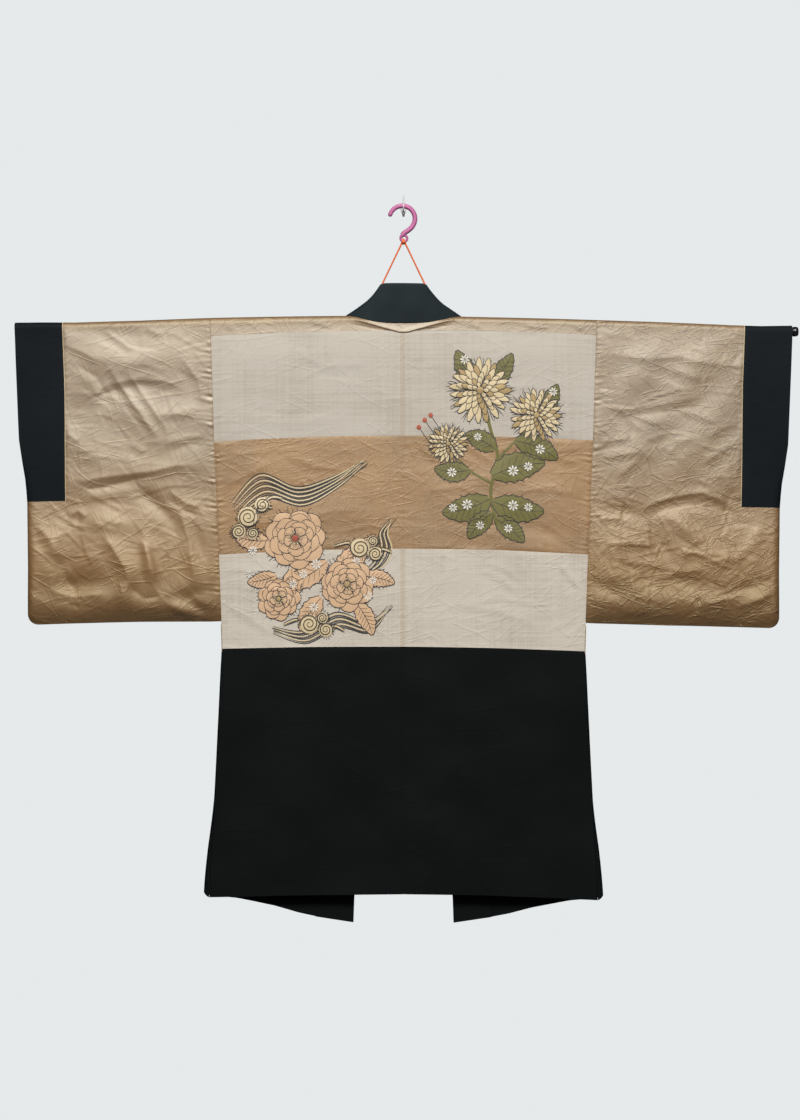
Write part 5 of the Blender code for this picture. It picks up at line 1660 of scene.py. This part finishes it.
def build_wall_hook():
    """The strip lies on the wall, the peg carries the plastic hook and two wires brace it."""
    bm = bmesh.new()
    bmesh.ops.create_cube(bm, size=1.0)
    height = STRIP_TOP - STRIP_FOOT
    bmesh.ops.scale(bm, verts=bm.verts, vec=(2 * STRIP_HALF_WIDTH, STRIP_THICKNESS, height))
    middle = (0, -STRIP_THICKNESS / 2, (STRIP_TOP + STRIP_FOOT) / 2)
    bmesh.ops.translate(bm, verts=bm.verts, vec=middle)
    bmesh.ops.bevel(bm, geom=bm.edges, offset=0.0003, segments=2, profile=0.5, affect="EDGES",
                    material=-1)
    hard_piece("wall_strip", bm, STRIP_PAINT, "steel", "wall_hook")

    seat = HOOK_BOW_CENTRE[1] + HOOK_BOW_RADIUS - HOOK_TUBE - 0.0003 - PEG_RADIUS
    root = (0.0, -STRIP_THICKNESS, seat + PEG_RISE / PEG_REACH * HANG_Y)
    tip = (0.0, -PEG_REACH, seat + PEG_RISE)
    bm = bmesh.new()
    tube(bm, [root, tip], PEG_RADIUS, 24)
    turned = curve([(0, -PEG_REACH + 0.001, seat), (0, -PEG_REACH - 0.0004, seat + 0.0034),
                    (0, -PEG_REACH - 0.0002, seat + 0.0080)], 8)
    tube(bm, turned, [0.0011, 0.0011, 0.0011, 0.0011, 0.0010, 0.0009, 0.0007, 0.0002], 16)
    foot = np.array([0.0, -STRIP_THICKNESS - BALL_RADIUS * 0.6, -0.0035])
    for side in (-1, 1):
        wire = curve([foot, (side * 0.0024, -0.0044, 0.0020), (side * 0.0042, -0.0060, 0.0090),
                      (side * 0.0018, -0.0070, 0.0120)], 26)
        tube(bm, wire, 0.0011, 12)
    ball(bm, tuple(foot), BALL_RADIUS)
    hard_piece("wall_peg", bm, STEEL, "steel")


def build_hanger():
    build_rod()
    build_cord()
    build_hook()
    build_wall_hook()


def build_garment():
    build_back()
    left = (LEFT_SLEEVE_CREASES + LEFT_SMALL, LEFT_SLEEVE_SWELLS, CREASING_LEFT)
    right = (RIGHT_SLEEVE_CREASES + RIGHT_SMALL, RIGHT_SLEEVE_SWELLS, CREASING_RIGHT)
    build_sleeve("left", -1, SATIN, LEFT_SLEEVE_FOLDS, left, right, LEFT_SEED)
    build_sleeve("right", 1, CREASED_SATIN, RIGHT_SLEEVE_FOLDS, right, left, RIGHT_SEED)
    for word, side, seed in (("left", -1, 66), ("right", 1, 76)):
        build_front_lining(word, side)
        build_front_hem(word, side)
        build_gusset(word, side)
        build_cuff(word, side, seed)
    build_collar()


# ---------------------------------------------------------------- camera, light and floor
def add_light(name, place, target, size, power, color):
    data = bpy.data.lights.new(name, "AREA")
    data.shape = "DISK"
    data.size = size
    data.energy = power
    data.color = color
    light = to_scene(name, data)
    light.location = place
    light.rotation_euler = (Vector(target) - light.location).to_track_quat("-Z", "Y").to_euler()


def build_world():
    """A pale backdrop; the room's light is bright above and in front, dim below and behind."""
    world = bpy.data.worlds.new("studio")
    world.use_nodes = True
    tree = world.node_tree
    way = tree.nodes.new("ShaderNodeTexCoord").outputs["Generated"]
    above = spread(tree, component(tree, way, "Z"), -0.5, 0.7, 0.012, 0.27, "SMOOTHSTEP")
    ahead = spread(tree, component(tree, way, "Y"), -0.55, 0.25, 1.0, 0.15, "SMOOTHSTEP")
    room = tree.nodes["Background"]
    feed(tree, room.inputs["Color"], (0.97, 0.99, 1.0))
    feed(tree, room.inputs["Strength"], math_node(tree, "MULTIPLY", above, ahead))
    backdrop = add_node(tree, "ShaderNodeBackground", Color=(0.79, 0.82, 0.83))
    seen = tree.nodes.new("ShaderNodeMixShader")
    straight = tree.nodes.new("ShaderNodeLightPath").outputs["Is Camera Ray"]
    for socket, value in zip(seen.inputs, (straight, room.outputs[0], backdrop.outputs[0])):
        feed(tree, socket, value)
    feed(tree, tree.nodes["World Output"].inputs["Surface"], seen.outputs[0])
    bpy.context.scene.world = world


SENSOR, VIEW_DISTANCE, VIEW_HEIGHT = 36.0, 3.4, 1.904
VIEW_CENTRE = (-0.006, -0.035, -0.5945)


def build_studio():
    data = bpy.data.cameras.new("camera")
    data.sensor_width = SENSOR
    data.lens = SENSOR * VIEW_DISTANCE / VIEW_HEIGHT
    camera = to_scene("camera", data)
    camera.location = Vector(VIEW_CENTRE) - Vector((0.0, VIEW_DISTANCE, 0.0))
    camera.rotation_euler = (math.pi / 2, 0, 0)
    bpy.context.scene.camera = camera

    build_world()
    bpy.context.scene.view_settings.view_transform = "Standard"
    add_light("key", (-0.2, -4.75, 3.2), (0, 0, -0.5), 2.0, 462.0, (1.0, 0.978, 0.94))
    add_light("behind", (0.6, 4.9, 0.2), (0, 0, -0.6), 4.4, 150.0, (1.0, 0.99, 0.97))

    bm = bmesh.new()
    bmesh.ops.create_circle(bm, cap_ends=True, segments=96, radius=1.0)
    bmesh.ops.translate(bm, verts=bm.verts, vec=(0, -0.4, -3.60))
    mesh = to_mesh(bm, "floor")
    made, tree, shader = new_material("pale_floor", 0.7)
    tone = add_group(tree, TONE, object_place(tree), Dark=(0.74, 0.76, 0.76), Light=(0.78, 0.80, 0.80))
    feed(tree, shader.inputs["Base Color"], tone["Color"])
    mesh.materials.append(made)
    to_scene("floor", mesh)


build_studio()
build_garment()
build_embroidery()
build_hanger()
